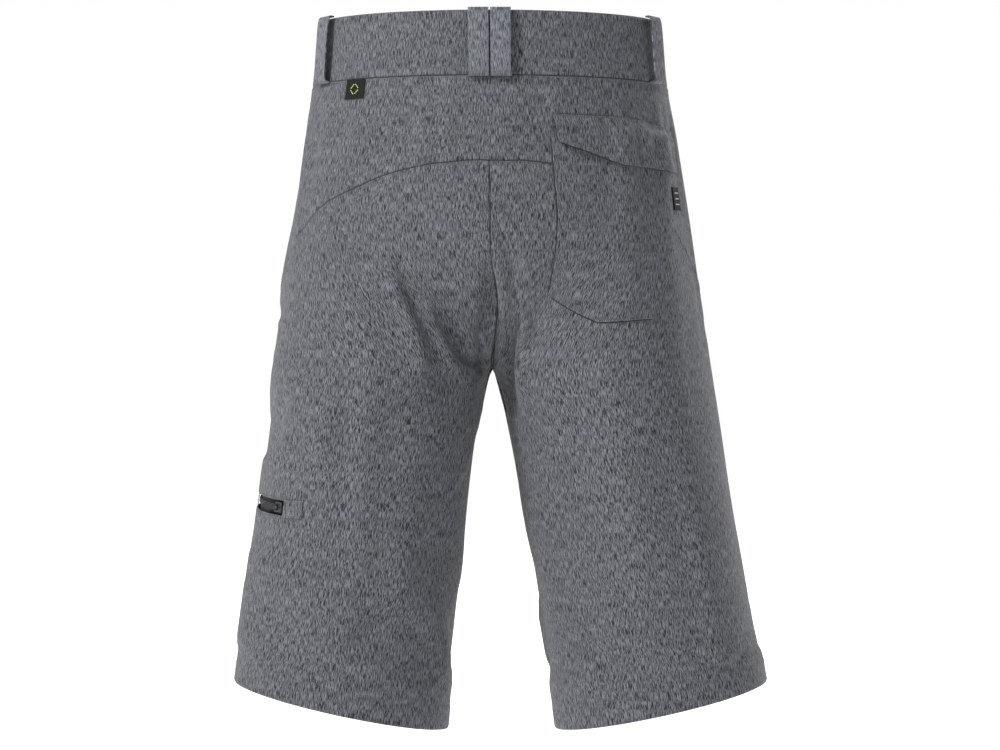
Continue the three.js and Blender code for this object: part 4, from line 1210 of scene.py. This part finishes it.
def grid_line(grid, a, b, lift, count=60):
    """A line over a pocket or flap: one of a and b is a pair of ends, the other one place. lift
    may be a function of a and b."""
    a = np.linspace(*a, count) if isinstance(a, tuple) else np.array([a])
    b = np.linspace(*b, count) if isinstance(b, tuple) else np.array([b])
    _, _, s, v = grid(a, b)
    if callable(lift):
        lift = lift(*np.meshgrid(a, b)).reshape(-1)
    return seam_line(s.reshape(-1), v.reshape(-1), lift)


def build_flap():
    """The flap: its cloth stands up away from its sewn top edge, and its free edges have a turned hem.
    """
    width, height = 0.125, 0.04
    corner = FLAP["corner"] + np.array([-1, 0, 1]) * 0.006
    a_steps = np.sort(np.concatenate([shares(width, 2 * MM), corner]))
    a, b, s, v = flap_grid(a_steps, shares(height, 1.6 * MM))
    off = edge_distance(a, np.maximum(b, 0.35), width, height)
    hem = 0.5 * MM * (1 - smooth((off - 5 * MM) / (2 * MM)))
    lift = flap_lift(a, b) + 1.0 * MM + turned_edge(off) + (hem + curl_of(a, b)) * smooth(b / 0.3)
    flap = lay(
        "pocket_flap_cloth", s, v, lift, 1.3 * MM, nodes=("pocket_flap",), body=None,
        shift=0.77,
    )
    fold = np.array([0.27])
    top = skin(fold, level_at(fold, flap_top(0.5) + 0.5 * MM))[0][0]
    end = skin(fold, level_at(fold, flap_top(0.5) - 9 * MM))[0][0]
    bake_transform(flap)
    inset = STITCH_INSET / width
    low = 1 - STITCH_INSET / height
    lines = [
        grid_line(flap_grid, inset, (0.3, low), stitched_lift, 30),
        grid_line(flap_grid, 1 - inset, (0.3, low), stitched_lift, 30),
        grid_line(flap_grid, (inset, 1 - inset), low, stitched_lift, 80),
    ]
    sew("pocket_flap_stitches", lines, body="pocket_flap")
    # Painted shadow: a near-black cord just outside the flap's left and bottom edges, where the flap
    # casts shade on the pocket and shell.
    beyond = 0.3 * MM
    rim = [
        grid_line(flap_grid, -beyond / width, (0.1, 1), shade_cord_lift, 40),
        grid_line(flap_grid, (0, 1), 1 + beyond / height, shade_cord_lift, 120),
    ]
    sew("pocket_flap_edge_shade", rim, body="pocket_flap", radius=0.45 * MM, **SHADE_CORD)
    sew("flap_top_stitches", [grid_line(flap_grid, (0.01, 0.99), 0.03, 1.35 * MM, 80)])
    # Painted shade: a near-black cord along the flap's sewn top edge.
    top_shade_line = grid_line(flap_grid, (0.01, 0.99), -0.006, 0.2 * MM, 80)
    sew("flap_top_edge_shade", [top_shade_line], radius=0.45 * MM, **SHADE_CORD)


def stitched_lift(a, b):
    return flap_lift(a, b) + 1.2 * MM + curl_of(a, b)


# Lift of the painted edge-shadow cord beside the flap.
def shade_cord_lift(a, b):
    return flap_lift(np.maximum(a, 0), np.minimum(b, 1)) + 0.2 * MM


def curl_of(a, b):
    """The slight wave along the flap's free edge."""
    return 0.6 * MM * smooth((b - 0.4) / 0.6) * (1 + np.sin(np.asarray(a) * 9 + 0.6))


def build_grip_tapes():
    """Loop tape on the pocket and hook tape under the flap."""
    middle = mix(FLAP["left"], FLAP["right"], FLAP["corner"] + 0.04)
    half = GRIP["width"] / 2
    top = flap_top(FLAP["corner"]) - FLAP["corner_height"] + GRIP["height"] + GRIP["above"]
    loop_low = POCKET_LOW + POCKET_THICK + GRIP["clear"]
    hook_low = loop_low + GRIP["thick"] + GRIP["clear"]
    s = mix(middle - half, middle + half, shares(2 * half * GRAIN_TURN, 2 * MM))
    b = shares(GRIP["height"], 2 * MM)[:, None]
    v = level(s, top - GRIP["height"] * b)
    for name, low, body, under in (
        ("pocket_loop_tape", loop_low, BODY, "back_pocket_cloth"),
        ("flap_hook_tape", hook_low, "pocket_flap", "pocket_loop_tape_pile"),
    ):
        lay(
            f"{name}_pile", s, v, low + GRIP["thick"], GRIP["thick"], "grip", 1, nodes=(name,),
            body=body,
        )


def build_hand_pockets():
    """The cloth seen inside each slanted opening, the bag behind it and the rows of stitches."""
    low = -CLOTH - 0.4 * MM
    for name, side in (("left", -1), ("right", 1)):
        u = mix(0.5012, SLANT["top"] + 0.03, shares(0.1, 3 * MM, (False, False)))
        s = np.sort(side * u)
        top = np.full(s.shape, 1 + SEAM / BAND)
        bottom = level(s, slant_edge(np.abs(s)) - SLANT["facing"])
        v = rows_through([top, bottom], [shares(0.14, near=(True, False))])
        z = height_at(np.abs(s), v)
        above = z - slant_edge(np.abs(s))
        rise = dip(z[:1] - z, 0.3 * MM) + 1.1 * MM * smooth((above - 2 * MM) / (6 * MM))
        lay(
            f"hand_pocket_facing_{name}_cloth", s, v, low + rise, 1.0 * MM,
            nodes=(f"hand_pocket_facing_{name}",), shift=1.1,
        )
        b = np.linspace(0, 1, 48)[:, None]
        a = np.linspace(0, 1, 36)[None, :]
        end = mix(SLANT["top"] + 0.04, SLANT["bag_end"], np.sin(math.pi * b) ** 0.7)
        u = mix(0.515, end, a if side > 0 else 1 - a)
        z = mix(top_edge(u) - BAND - 2 * MM, -SLANT["bag_bottom"], b)
        lift = low - CLOTH - 0.9 * MM - 1.2 * MM * np.sin(math.pi * a) * np.sin(math.pi * b)
        lay(
            f"hand_pocket_bag_{name}_cloth", side * u, level_at(u, z), lift, 0.8 * MM, "lining", side,
            nodes=(f"hand_pocket_bag_{name}",),
        )
        line = np.linspace(0.507, SLANT["top"] - 0.003, 60)
        rows = [
            seam_line(side * line, level_at(line, slant_edge(line) - inset), -0.15 * MM, side)
            for inset in (STITCH_INSET, 8 * MM)
        ]
        sew(f"hand_pocket_stitches_{name}", rows)


# ---- Zips -------------------------------------------------------------------------------------
ZIP = dict(recess=0.8 * MM, coil_middle=-1.45 * MM, coil_middle_at=1.053 * MM, pitch=1.3 * MM)
TOOTH = (1.45 * MM, 0.75 * MM, 0.52 * MM)  # half its length, height and width


def teeth(name, nodes, spots):
    """One half of a coil zip: a row of small rounded bars, each given as its middle, its long
    direction and its outward direction."""
    places = []
    for middle, across, out in spots:
        across, out = Vector(across).normalized(), Vector(out)
        along = across.cross(out).normalized()
        turn = Matrix((across, along.cross(across), along)).transposed().to_4x4()
        places.append(Matrix.Translation(Vector(middle)) @ turn)
    mesh = many(name, places, Matrix.Diagonal((*TOOTH, 1)), (8, 5))
    return show(name, mesh, "coil", BODY, nodes)


def ring_point(turn, radius, rise):
    across = unit(np.cross(RING_AXIS, [1, 0, 0]))
    flat = radius * (math.cos(turn) * np.array([1, 0, 0]) + math.sin(turn) * across)
    return RING_CENTRE + flat + rise * RING_AXIS


def build_leg_zip():
    """The left leg's zip with its tape, slider and garage, and the pocket bag behind it."""
    middle_u = (LEG_ZIP["rear"] + LEG_ZIP["front"]) / 2
    out = normals(np.array([-middle_u]), level_at(np.array([middle_u]), LEG_ZIP["z"]))[0]
    slope = out[2] / math.hypot(out[0], out[1])
    base = RING_RADIUS - ZIP["recess"] + ZIP["coil_middle"]
    step = ZIP["pitch"] / RING_RADIUS
    for name, way in (("lower", -1), ("upper", 1)):
        spots = []
        for turn in np.arange(RING_REAR - 0.01 - (way > 0) * step / 2, RING_FRONT + 0.01, -step):
            rise = way * ZIP["coil_middle_at"]
            at = ring_point(turn, base - slope * rise, rise)
            outward = unit(ring_point(turn, 1, 0) - RING_CENTRE + slope * RING_AXIS)
            spots.append((at, RING_AXIS - slope * outward, outward))
        teeth(f"leg_zip_teeth_{name}", (f"leg_zip_coil_{name}",), spots)
        dress(f"leg_zip_tape_{name}", "tape")
    softened("leg_zip_slider", "metal", 0.22 * MM, body="leg_slider")
    softened("leg_zip_puller", "cord", 0.3 * MM, body="leg_puller")
    garage_low, garage_high = GARAGE["rear"], LEG_ZIP["rear"] - GARAGE["lap"]
    length, height = GARAGE["length"], GARAGE["height"]
    middle = ring_point(RING_REAR + 0.1, RING_RADIUS, 0)[2]
    z_ends = (middle + height / 2, middle - height / 2)
    a, b = np.meshgrid(shares(length, 1 * MM)[::-1], shares(height, 1 * MM))
    u_grid, z_grid = mix(garage_low, garage_high, a), mix(*z_ends, b)
    off = edge_distance(a, b, length, height)
    lay(
        "leg_zip_garage_cloth", -u_grid, level_at(u_grid, z_grid), 1.2 * MM + turned_edge(off),
        0.8 * MM, side=-1, nodes=("leg_zip_garage",),
        shift=1.7,
    )
    ring = []
    corners = ((0.09, 0.12), (0.91, 0.12), (0.91, 0.88), (0.09, 0.88), (0.09, 0.12))
    for (a0, b0), (a1, b1) in zip(corners, corners[1:]):
        t = np.linspace(0, 1, 12)
        u_line = mix(garage_low, garage_high, mix(a0, a1, t))
        z_line = mix(*z_ends, mix(b0, b1, t))
        ring.append(seam_line(-u_line, level_at(u_line, z_line), 1.1 * MM, -1))
    sew("leg_zip_garage_stitches", ring)
    lines = []
    u = np.linspace(garage_high, LEG_ZIP["front"] + GARAGE["lap"], 90)
    spot = surface(-u, level_at(u, LEG_ZIP["z"]))
    for way in (1, -1):
        z = leg_zip_z(spot) + way * (LEG_ZIP["half_slot"] + STITCH_INSET)
        lines.append(seam_line(-u, level_at(u, z), -0.12 * MM, -1))
    sew("leg_zip_stitches", lines)
    a, b = np.meshgrid(np.linspace(0, 1, 60), np.linspace(0, 1, 50))
    u = mix(LEG_BAG["front"], LEG_BAG["rear"], a)
    z = -mix(LEG_BAG["top"], LEG_BAG["bottom"], b)
    inset = np.minimum.reduce([a, 1 - a, b, 1 - b])
    depth = mix(CLOTH + 0.8 * MM, LEG_BAG["depth"], smooth(inset * 10))
    lay(
        "leg_pocket_bag_cloth", -u, level_at(u, z), -depth, 1.2 * MM, "lining", -1,
        nodes=("leg_pocket_bag",),
    )


def build_fly():
    """The fly's zip, the shield behind it and the stitches beside it."""
    recess = np.array([0, FLY["recess"], 0])
    top = surface(1.0, level_at(1.0, -(FRONT_DROP + BAND + FLY["below_band"]))) - recess
    end = surface(1.0, level_at(1.0, -FLY["bottom"])) - recess
    length = np.linalg.norm(top - end)
    up = (top - end) / length
    out = -np.cross([1, 0, 0], up)
    for name, side in (("left", -1), ("right", 1)):
        spots = []
        for down in np.arange(2 * MM + (side > 0) * ZIP["pitch"] / 2, length - 4.5 * MM, ZIP["pitch"]):
            beside = np.array([side * ZIP["coil_middle_at"], 0, 0])
            spots.append((top - up * down + out * ZIP["coil_middle"] + beside, (1, 0, 0), out))
        teeth(f"fly_zip_teeth_{name}", (f"fly_zip_coil_{name}",), spots)
        dress(f"fly_zip_tape_{name}", "tape")
    softened("fly_zip_bottom_stop", "metal", 0.2 * MM)
    softened("fly_zip_slider", "metal", 0.22 * MM, body="fly_slider")
    softened("fly_zip_puller", "cord", 0.3 * MM, body="fly_puller")
    a, b = np.meshgrid(np.linspace(0, 1, 30), np.linspace(0, 1, 70))
    z = mix(top_edge(1.0) - BAND - 1 * MM, -FLY["bottom"] - 7 * MM, b)
    x = mix(20 * MM, -20 * MM, a)
    s = front_at(x, z)
    depth = mix(CLOTH + 0.8 * MM, 9.5 * MM, smooth(np.minimum(a, 1 - a) * 7)) + 0.6 * MM
    lay(
        "fly_shield_cloth", s, level_at(np.where(s > 1, 2 - s, s), z), -depth, 1 * MM, "lining",
        nodes=("fly_shield",),
    )
    lines = []
    z = np.linspace(-FRONT_DROP - BAND - 3 * MM, -FLY["bottom"] - 1 * MM, 60)
    for x in (-9 * MM, 9 * MM, -31 * MM):
        bend = np.where(abs(x) > 20 * MM, smooth((-z - 0.15) / 0.06) * 22 * MM, 0)
        s = front_at(np.full(z.shape, x) + bend, z)
        s = np.where(s > 1, s - 2, s)
        lines.append(seam_line(s, level_at(np.abs(s), z), -0.1 * MM))
    sew("fly_stitches", lines)


def front_at(x, z):
    share = 0.5 + np.arccos(np.clip(np.abs(x) / half_width(z), 0, 1)) / math.pi
    return np.where(x >= 0, share, 2 - share)


# ---- Waist: loops, tab and snaps --------------------------------------------------------------
def body_frame(s, z):
    """A place on the body with its across, out and up directions."""
    at = surface(s, level_at(abs(s), z))
    out = normals(np.array([s]), level_at(np.array([abs(s)]), z))[0]
    up = unit(np.array([0, 0, 1.0]) - out * out[2])
    return at, np.cross(out, up), out, up


def belt_loop(name, s, shift=0.0):
    """A folded strip of cloth that stands out from the band, flat across its middle."""
    width, half, stand = LOOP["width"], BAND / 2 + LOOP["past_band"], LOOP["stand"]
    middle = float(top_edge(abs(s))) - BAND / 2
    at, across, out, up = body_frame(s, middle)
    sideways = (shift + math.copysign(width / 2, shift)) / (2 * HALF_WIDTH[0])
    reach = [
        float((surface(spot, level_at(abs(spot), middle + h * BAND / 2)) - at) @ out)
        for h in (-1, -0.5, 0, 0.5, 1)
        for spot in (s, s + sideways * (1 if s >= 0 else -1))
    ]
    lift = max(reach) + 0.6 * MM
    turn = np.linspace(-math.pi / 2, math.pi / 2, 44)
    boxy = 2 / 5.5
    stood = stand * np.abs(np.cos(turn)) ** boxy
    rise = half * np.sign(np.sin(turn)) * np.abs(np.sin(turn)) ** boxy
    over = np.linspace(-1, 1, 15)
    over = np.sign(over) * np.abs(over) ** 0.8
    rows, columns = len(turn), len(over)
    points = np.zeros((rows, columns, 3))
    for j in range(rows):
        for i in range(columns):
            edge = dip((1 - abs(over[i])) * width / 2, 0.3 * MM, 0.6 * MM)
            crown = 0.25 * MM * math.cos(over[i] * 2.6 + s * 3) * math.cos(turn[j])
            skew = 0.35 * MM * math.sin(turn[j] * 1.4 + s * 9 + shift * 300)
            points[rows - 1 - j, i] = (
                at + across * -(shift * -1 + over[i] * -width / 2 + skew)
                + out * (lift + stood[j] + (edge + crown) * math.cos(turn[j])) + up * rise[j]
            )
    roll_x, roll_y = over[None, :] * width / 2 + s * GRAIN_TURN, rise[::-1, None] + 0.4
    grain = np.stack(np.broadcast_arrays(roll_x, roll_y), -1)
    flip = np.dot(np.cross(points[1, 0] - points[0, 0], points[0, 1] - points[0, 0]), out) < 0
    if flip:
        points = points[:, ::-1]
    mesh = cloth_mesh(name, points, grain.astype(float))
    # The loop finish is the shell cloth painted lighter: a painted highlight.
    loop = show(name, mesh, "loop", BODY, (name.replace("_cloth", ""),))
    wall = loop.modifiers.new("thickness", "SOLIDIFY")
    wall.thickness = LOOP["thick"]
    wall.offset = -1
    ease = loop.modifiers.new("ease", "BEVEL")
    ease.width = 0.35 * MM
    ease.segments = 2
    ease.limit_method = "ANGLE"
    ease.angle_limit = math.radians(50)
    lines = []
    for way in (-1, 1):
        ends = np.linspace(-0.42, 0.42, 8) * width
        row = at + across * (shift + ends[:, None]) + out * (lift + stand * 0.93)
        row = row + up * way * (half - 2.2 * MM)
        lines.append((row, np.broadcast_to(out, row.shape)))
    sew(name.replace("_cloth", "_stitches"), lines, radius=0.28 * MM)


def build_waist():
    """The belt loops, and the tab with its two snaps."""
    for name, side in (("left", -1), ("right", 1)):
        belt_loop(f"belt_loop_back_{name}_cloth", 0.0, -side * LOOP_AT["pair"])
        belt_loop(f"belt_loop_side_{name}_cloth", side * LOOP_AT["side"])
        belt_loop(f"belt_loop_front_{name}_cloth", side * LOOP_AT["front"])
    middle = float(top_edge(1.0)) - BAND / 2
    start, stop = float(front_at(TAB["reach"], middle)), float(front_at(-TAB["root"], middle))
    length = TAB["reach"] + TAB["root"]
    a, b = np.meshgrid(shares(length, 2 * MM), shares(TAB["height"], 2 * MM))
    inset = (BAND - TAB["height"]) / 2 / BAND
    lifted = tab_lift(a)
    off = edge_distance(a, b, length, TAB["height"])
    lay(
        "closure_tab_cloth", mix(start, stop, a), mix(inset, 1 - inset, b),
        lifted + TAB["thick"] + turned_edge(off), TAB["thick"], nodes=("closure_tab",),
        body="closure_tab", shift=2.1,
    )
    rim = []
    corners = ((0.05, 0.05), (0.94, 0.05), (0.94, 0.95), (0.05, 0.95), (0.05, 0.05))
    for (a0, b0), (a1, b1) in zip(corners, corners[1:]):
        t = np.linspace(0, 1, 20)
        a_line = mix(a0, a1, t)
        v_line = mix(inset, 1 - inset, mix(b0, b1, t))
        lift = tab_lift(a_line) + TAB["thick"] - 0.2 * MM
        rim.append(seam_line(mix(start, stop, a_line), v_line, lift))
    sew("closure_tab_stitches", rim, body="closure_tab")
    halves = {"cap": "closure_tab", "socket": "closure_tab", "stud": BODY, "post": BODY}
    for which in ("upper", "lower"):
        for part, body in halves.items():
            softened(f"snap_{part}_{which}", "metal", 0.2 * MM, body=body)


def tab_lift(a):
    """The tab stands off over its snaps and comes down to the band at its sewn root."""
    return mix(TAB["lift"], 0.6 * MM, smooth((a - 1 + TAB["ramp"]) / TAB["ramp"]))


# ---- Labels -----------------------------------------------------------------------------------
def label(name, node, s0, s1, z0, z1, low, thick, finish, slot, side):
    a, b = np.meshgrid(shares(abs(s1 - s0) * 0.5, 1.2 * MM), shares(abs(z1 - z0), 1.2 * MM))
    s = mix(s0, s1, a)
    off = edge_distance(a, b, abs(s1 - s0) * 0.5, abs(z1 - z0))
    lift = low + thick + dip(off, 0.25 * MM, 0.5 * MM)
    lay(
        name, s, level(s, mix(z0, z1, b)), lift, thick, finish, side, nodes=(node,),
    )


def build_labels():
    """Three blank labels, two of them with a plain mark in raised thread."""
    top = -BAND - 1 * MM
    waist_at = (-0.284, -0.236, top, top - 0.017)
    pocket_at = (0.362, 0.406, -0.148, -0.169)
    size_at = (-0.075, 0.075, -0.014, -0.048)
    pocket_low = POCKET_LOW + POCKET_THICK + 0.4 * MM
    for name, place, low, thick, finish, slot, side in (
        ("waist", waist_at, 0.4 * MM, 0.9 * MM, "green_label", "waist_label", -1),
        ("pocket", pocket_at, pocket_low, 0.9 * MM, "black_label", "black_label", 1),
        ("size", size_at, -3.6 * MM, 0.6 * MM, "black_label", "black_label", 0),
    ):
        label(f"{name}_label_cloth", f"{name}_label", *place, low, thick, finish, slot, side)
    # A plain green diamond, and three plain bars, in raised thread.
    s_middle, z_middle = -0.26, top - 0.0085
    spots = [(0, 5.2), (5.6, 0), (0, -5.2), (-5.6, 0), (0, 5.2)]
    lines = []
    for (x0, z0), (x1, z1) in zip(spots, spots[1:]):
        t = np.linspace(0, 1, 8)
        s = s_middle + mix(x0, x1, t) * MM / 0.5
        lines.append(seam_line(s, level(s, z_middle + mix(z0, z1, t) * MM), 1.35 * MM, -1))
    sew("waist_label_mark", lines, "green_thread", length=1.7 * MM, gap=0.1 * MM, radius=0.42 * MM)
    lines = []
    for row in (-5, 0, 5):
        t = np.linspace(-0.35, 0.35, 8)
        s = 0.384 + t * 0.044
        lines.append(seam_line(s, level(s, -0.1585 + row * MM + 0 * s), pocket_low + 0.95 * MM, 1))
    sew("pocket_label_bars", lines, "white_thread", length=2.4 * MM, gap=0.3 * MM, radius=0.5 * MM)


# ---- Pads -------------------------------------------------------------------------------------
def settle(piece, pressure, cap):
    """Lets a closed soft shape swell a little, with no move over cap, and keeps the result."""
    start = read_points(piece.data)
    sim = piece.modifiers.new("swell", "CLOTH")
    settings = sim.settings
    settings.quality = 4
    settings.use_pressure = True
    settings.uniform_pressure_force = pressure
    settings.tension_stiffness = settings.compression_stiffness = 30
    settings.effector_weights.gravity = 0
    sim.collision_settings.use_collision = False
    for step in range(1, 15):
        bpy.context.scene.frame_set(step)
    done = piece.evaluated_get(bpy.context.evaluated_depsgraph_get())
    moved = read_points(done.to_mesh()) - start
    done.to_mesh_clear()
    bpy.context.scene.frame_set(1)
    piece.modifiers.remove(sim)
    far = np.linalg.norm(moved, axis=1, keepdims=True)
    moved *= cap * np.tanh(far / cap) / np.maximum(far, 1e-9)
    piece.data.vertices.foreach_set("co", (start + moved).reshape(-1).astype(np.float32))


PAD_THICK = 8 * MM


def pad(name, s0, s1, top, bottom, outer):
    """A soft pad with eased edges, and the mesh sleeve that holds it against the shell."""
    width, height = abs(s1 - s0) * 0.5, bottom - top
    a, b = np.meshgrid(np.linspace(0, 1, 50), np.linspace(0, 1, 46))
    s = mix(s0, s1, a)
    v = level(s, -mix(top, bottom, b))
    points, _ = skin(s, v, outer - 1.2 * MM, 0)
    mesh = cloth_mesh(name, points, np.stack([s * 0.5, -mix(top, bottom, b)], -1))
    raw = bpy.data.objects.new("pad_core", mesh)
    bpy.context.scene.collection.objects.link(raw)
    wall = raw.modifiers.new("thickness", "SOLIDIFY")
    wall.thickness = PAD_THICK - 2.4 * MM
    wall.offset = -1
    voxels = raw.modifiers.new("voxels", "REMESH")
    voxels.mode = "VOXEL"
    voxels.voxel_size = 2.6 * MM
    done = raw.evaluated_get(bpy.context.evaluated_depsgraph_get())
    remeshed = bpy.data.meshes.new_from_object(done)
    bpy.data.objects.remove(raw)
    piece = show(f"{name}_pad_foam", remeshed, "foam", BODY, (f"{name}_pad",))
    settle(piece, 3.0, 1.0 * MM)
    fine = piece.modifiers.new("round", "SUBSURF")
    fine.levels = fine.render_levels = 1
    rim = 5 * MM
    grow_s = rim / 0.5 / abs(s1 - s0)
    grow = rim / height
    a, b = np.meshgrid(np.linspace(-grow_s, 1 + grow_s, 60), np.linspace(-grow, 1 + grow, 60))
    s = mix(s0, s1, a)
    beside = np.minimum(a + grow_s, 1 + grow_s - a) * width
    inset = np.minimum(beside, np.minimum(b + grow, 1 + grow - b) * height)
    sleeve = 0.6 * MM
    deepest = -outer + PAD_THICK + sleeve
    depth = mix(-outer - 1.0 * MM, deepest, smooth((inset - 1 * MM) / (6 * MM)))
    lay(
        f"{name}_pad_sleeve_cloth", s, level(s, -mix(top, bottom, b)), -depth, sleeve, "mesh",
        nodes=(f"{name}_pad_sleeve",),
    )


def build_pads():
    pad("seat", -0.2, 0.2, 0.108, 0.212, -2.8 * MM)
    hip_outer = -5.4 * MM
    pad("hip_left", -0.585, -0.42, 0.112, 0.262, hip_outer)
    pad("hip_right", 0.42, 0.585, 0.112, 0.262, hip_outer)


# ---- Shell stitching --------------------------------------------------------------------------
def build_stitching():
    """Rows of stitches along the hems, yoke and band, and a near-black cord down in each seam that
    paints the seam's shade.
    """
    hems = []
    for side in (-1, 1):
        for low, high in ((0.003, 0.497), (0.503, 0.997)):
            u = np.linspace(low, high, 160)
            v = level_at(u, hem_edge(u) + HEM_TURN)
            hems.append(seam_line(side * u, v, -0.05 * MM, side))
    sew("hem_stitches", hems)
    s = np.linspace(-0.495, 0.495, 260)
    sew("yoke_stitches", [seam_line(s, level(s, yoke_edge(np.abs(s)) - 1.8 * MM), 0.3 * MM)])
    round_waist = np.linspace(-0.985, 0.985, 420)
    band_low = 1 + 1.8 * MM / BAND + 0 * round_waist
    sew("waistband_stitches", [seam_line(round_waist, band_low, 0.15 * MM)])
    # Painted shade: near-black cords laid in the grooves of the yoke, band, centre back and side seams,
    # where shadow falls.
    groove = -0.62 * MM
    seam_shade_lines = [
        seam_line(s, level(s, yoke_edge(np.abs(s))), groove),
        seam_line(round_waist, 1 + 0 * round_waist, groove),
        seam_line(np.zeros(120), np.linspace(level_at(0, yoke_edge(0)), 2.9, 120), groove / 2),
    ]
    for side in (-1, 1):
        for low, high in ((1.0, 3.36), (3.52, 4.0)) if side < 0 else ((1.0, 4.0),):
            v = np.linspace(low, high, 160)
            seam_shade_lines.append(seam_line(side * 0.5 + 0 * v, v, groove))
    sew("seam_shade_cords", seam_shade_lines, radius=0.5 * MM, **SHADE_CORD)


# ---- Studio -----------------------------------------------------------------------------------
def area_light(name, place, size, power, colour=(1, 1, 1)):
    lamp = bpy.data.lights.new(name, "AREA")
    lamp.energy, lamp.size, lamp.color = power, size, colour
    holder = bpy.data.objects.new(name, lamp)
    bpy.context.scene.collection.objects.link(holder)
    holder.location = place
    aim = Vector((0, 0, -0.33)) - Vector(place)
    holder.rotation_euler = aim.to_track_quat("-Z", "Y").to_euler()


SOFT_LIGHT = 0.27
FLOOR_Z, FLOOR_RADIUS = -0.665, 9
CAMERA = dict(place=(0.009, -2.55, -0.3165), lens=101.5, sensor=36)


def studio():
    """A pale floor and backdrop, soft light, and the camera level behind the shorts."""
    scene = bpy.context.scene
    scene.view_settings.view_transform = "Standard"
    world = bpy.data.worlds.new("studio")
    scene.world = world
    world.use_nodes = True
    nodes, links = world.node_tree.nodes, world.node_tree.links
    sky = nodes["Background"]
    sky.inputs["Color"].default_value = (1, 1, 1, 1)
    paths = nodes.new("ShaderNodeLightPath")
    level_of_sky = nodes.new("ShaderNodeMapRange")
    level_of_sky.inputs["To Min"].default_value = SOFT_LIGHT
    level_of_sky.inputs["To Max"].default_value = 1.0
    links.new(paths.outputs["Is Camera Ray"], level_of_sky.inputs["Value"])
    links.new(level_of_sky.outputs["Result"], sky.inputs["Strength"])
    bm = bmesh.new()
    low = Matrix.Translation((0, 0, FLOOR_Z))
    bmesh.ops.create_circle(bm, cap_ends=True, segments=64, radius=FLOOR_RADIUS, matrix=low)
    mesh = bpy.data.meshes.new("floor")
    bm.to_mesh(mesh)
    bm.free()
    floor = bpy.data.objects.new("floor", mesh)
    scene.collection.objects.link(floor)
    paper = Finish("floor_paper", Roughness=0.9, Base_Color=(0.8, 0.8, 0.8), Emission_Color=(1, 1, 1))
    paper.set(Emission_Strength=0.8)
    mesh.materials.append(paper.material)
    area_light("key", (-2.1, -1.9, 2.2), 0.6, 135)
    area_light("front_key", (1.8, 2.2, 1.7), 1.2, 70)
    camera = bpy.data.cameras.new("camera")
    camera.lens, camera.sensor_width = CAMERA["lens"], CAMERA["sensor"]
    holder = bpy.data.objects.new("camera", camera)
    scene.collection.objects.link(holder)
    holder.location = CAMERA["place"]
    holder.rotation_euler = (math.radians(90), 0, 0)
    scene.camera = holder


build_shell()
build_band()
build_inside_edges()
build_back_pocket()
build_flap()
build_grip_tapes()
build_hand_pockets()
build_leg_zip()
build_fly()
build_waist()
build_labels()
build_pads()
build_stitching()
studio()
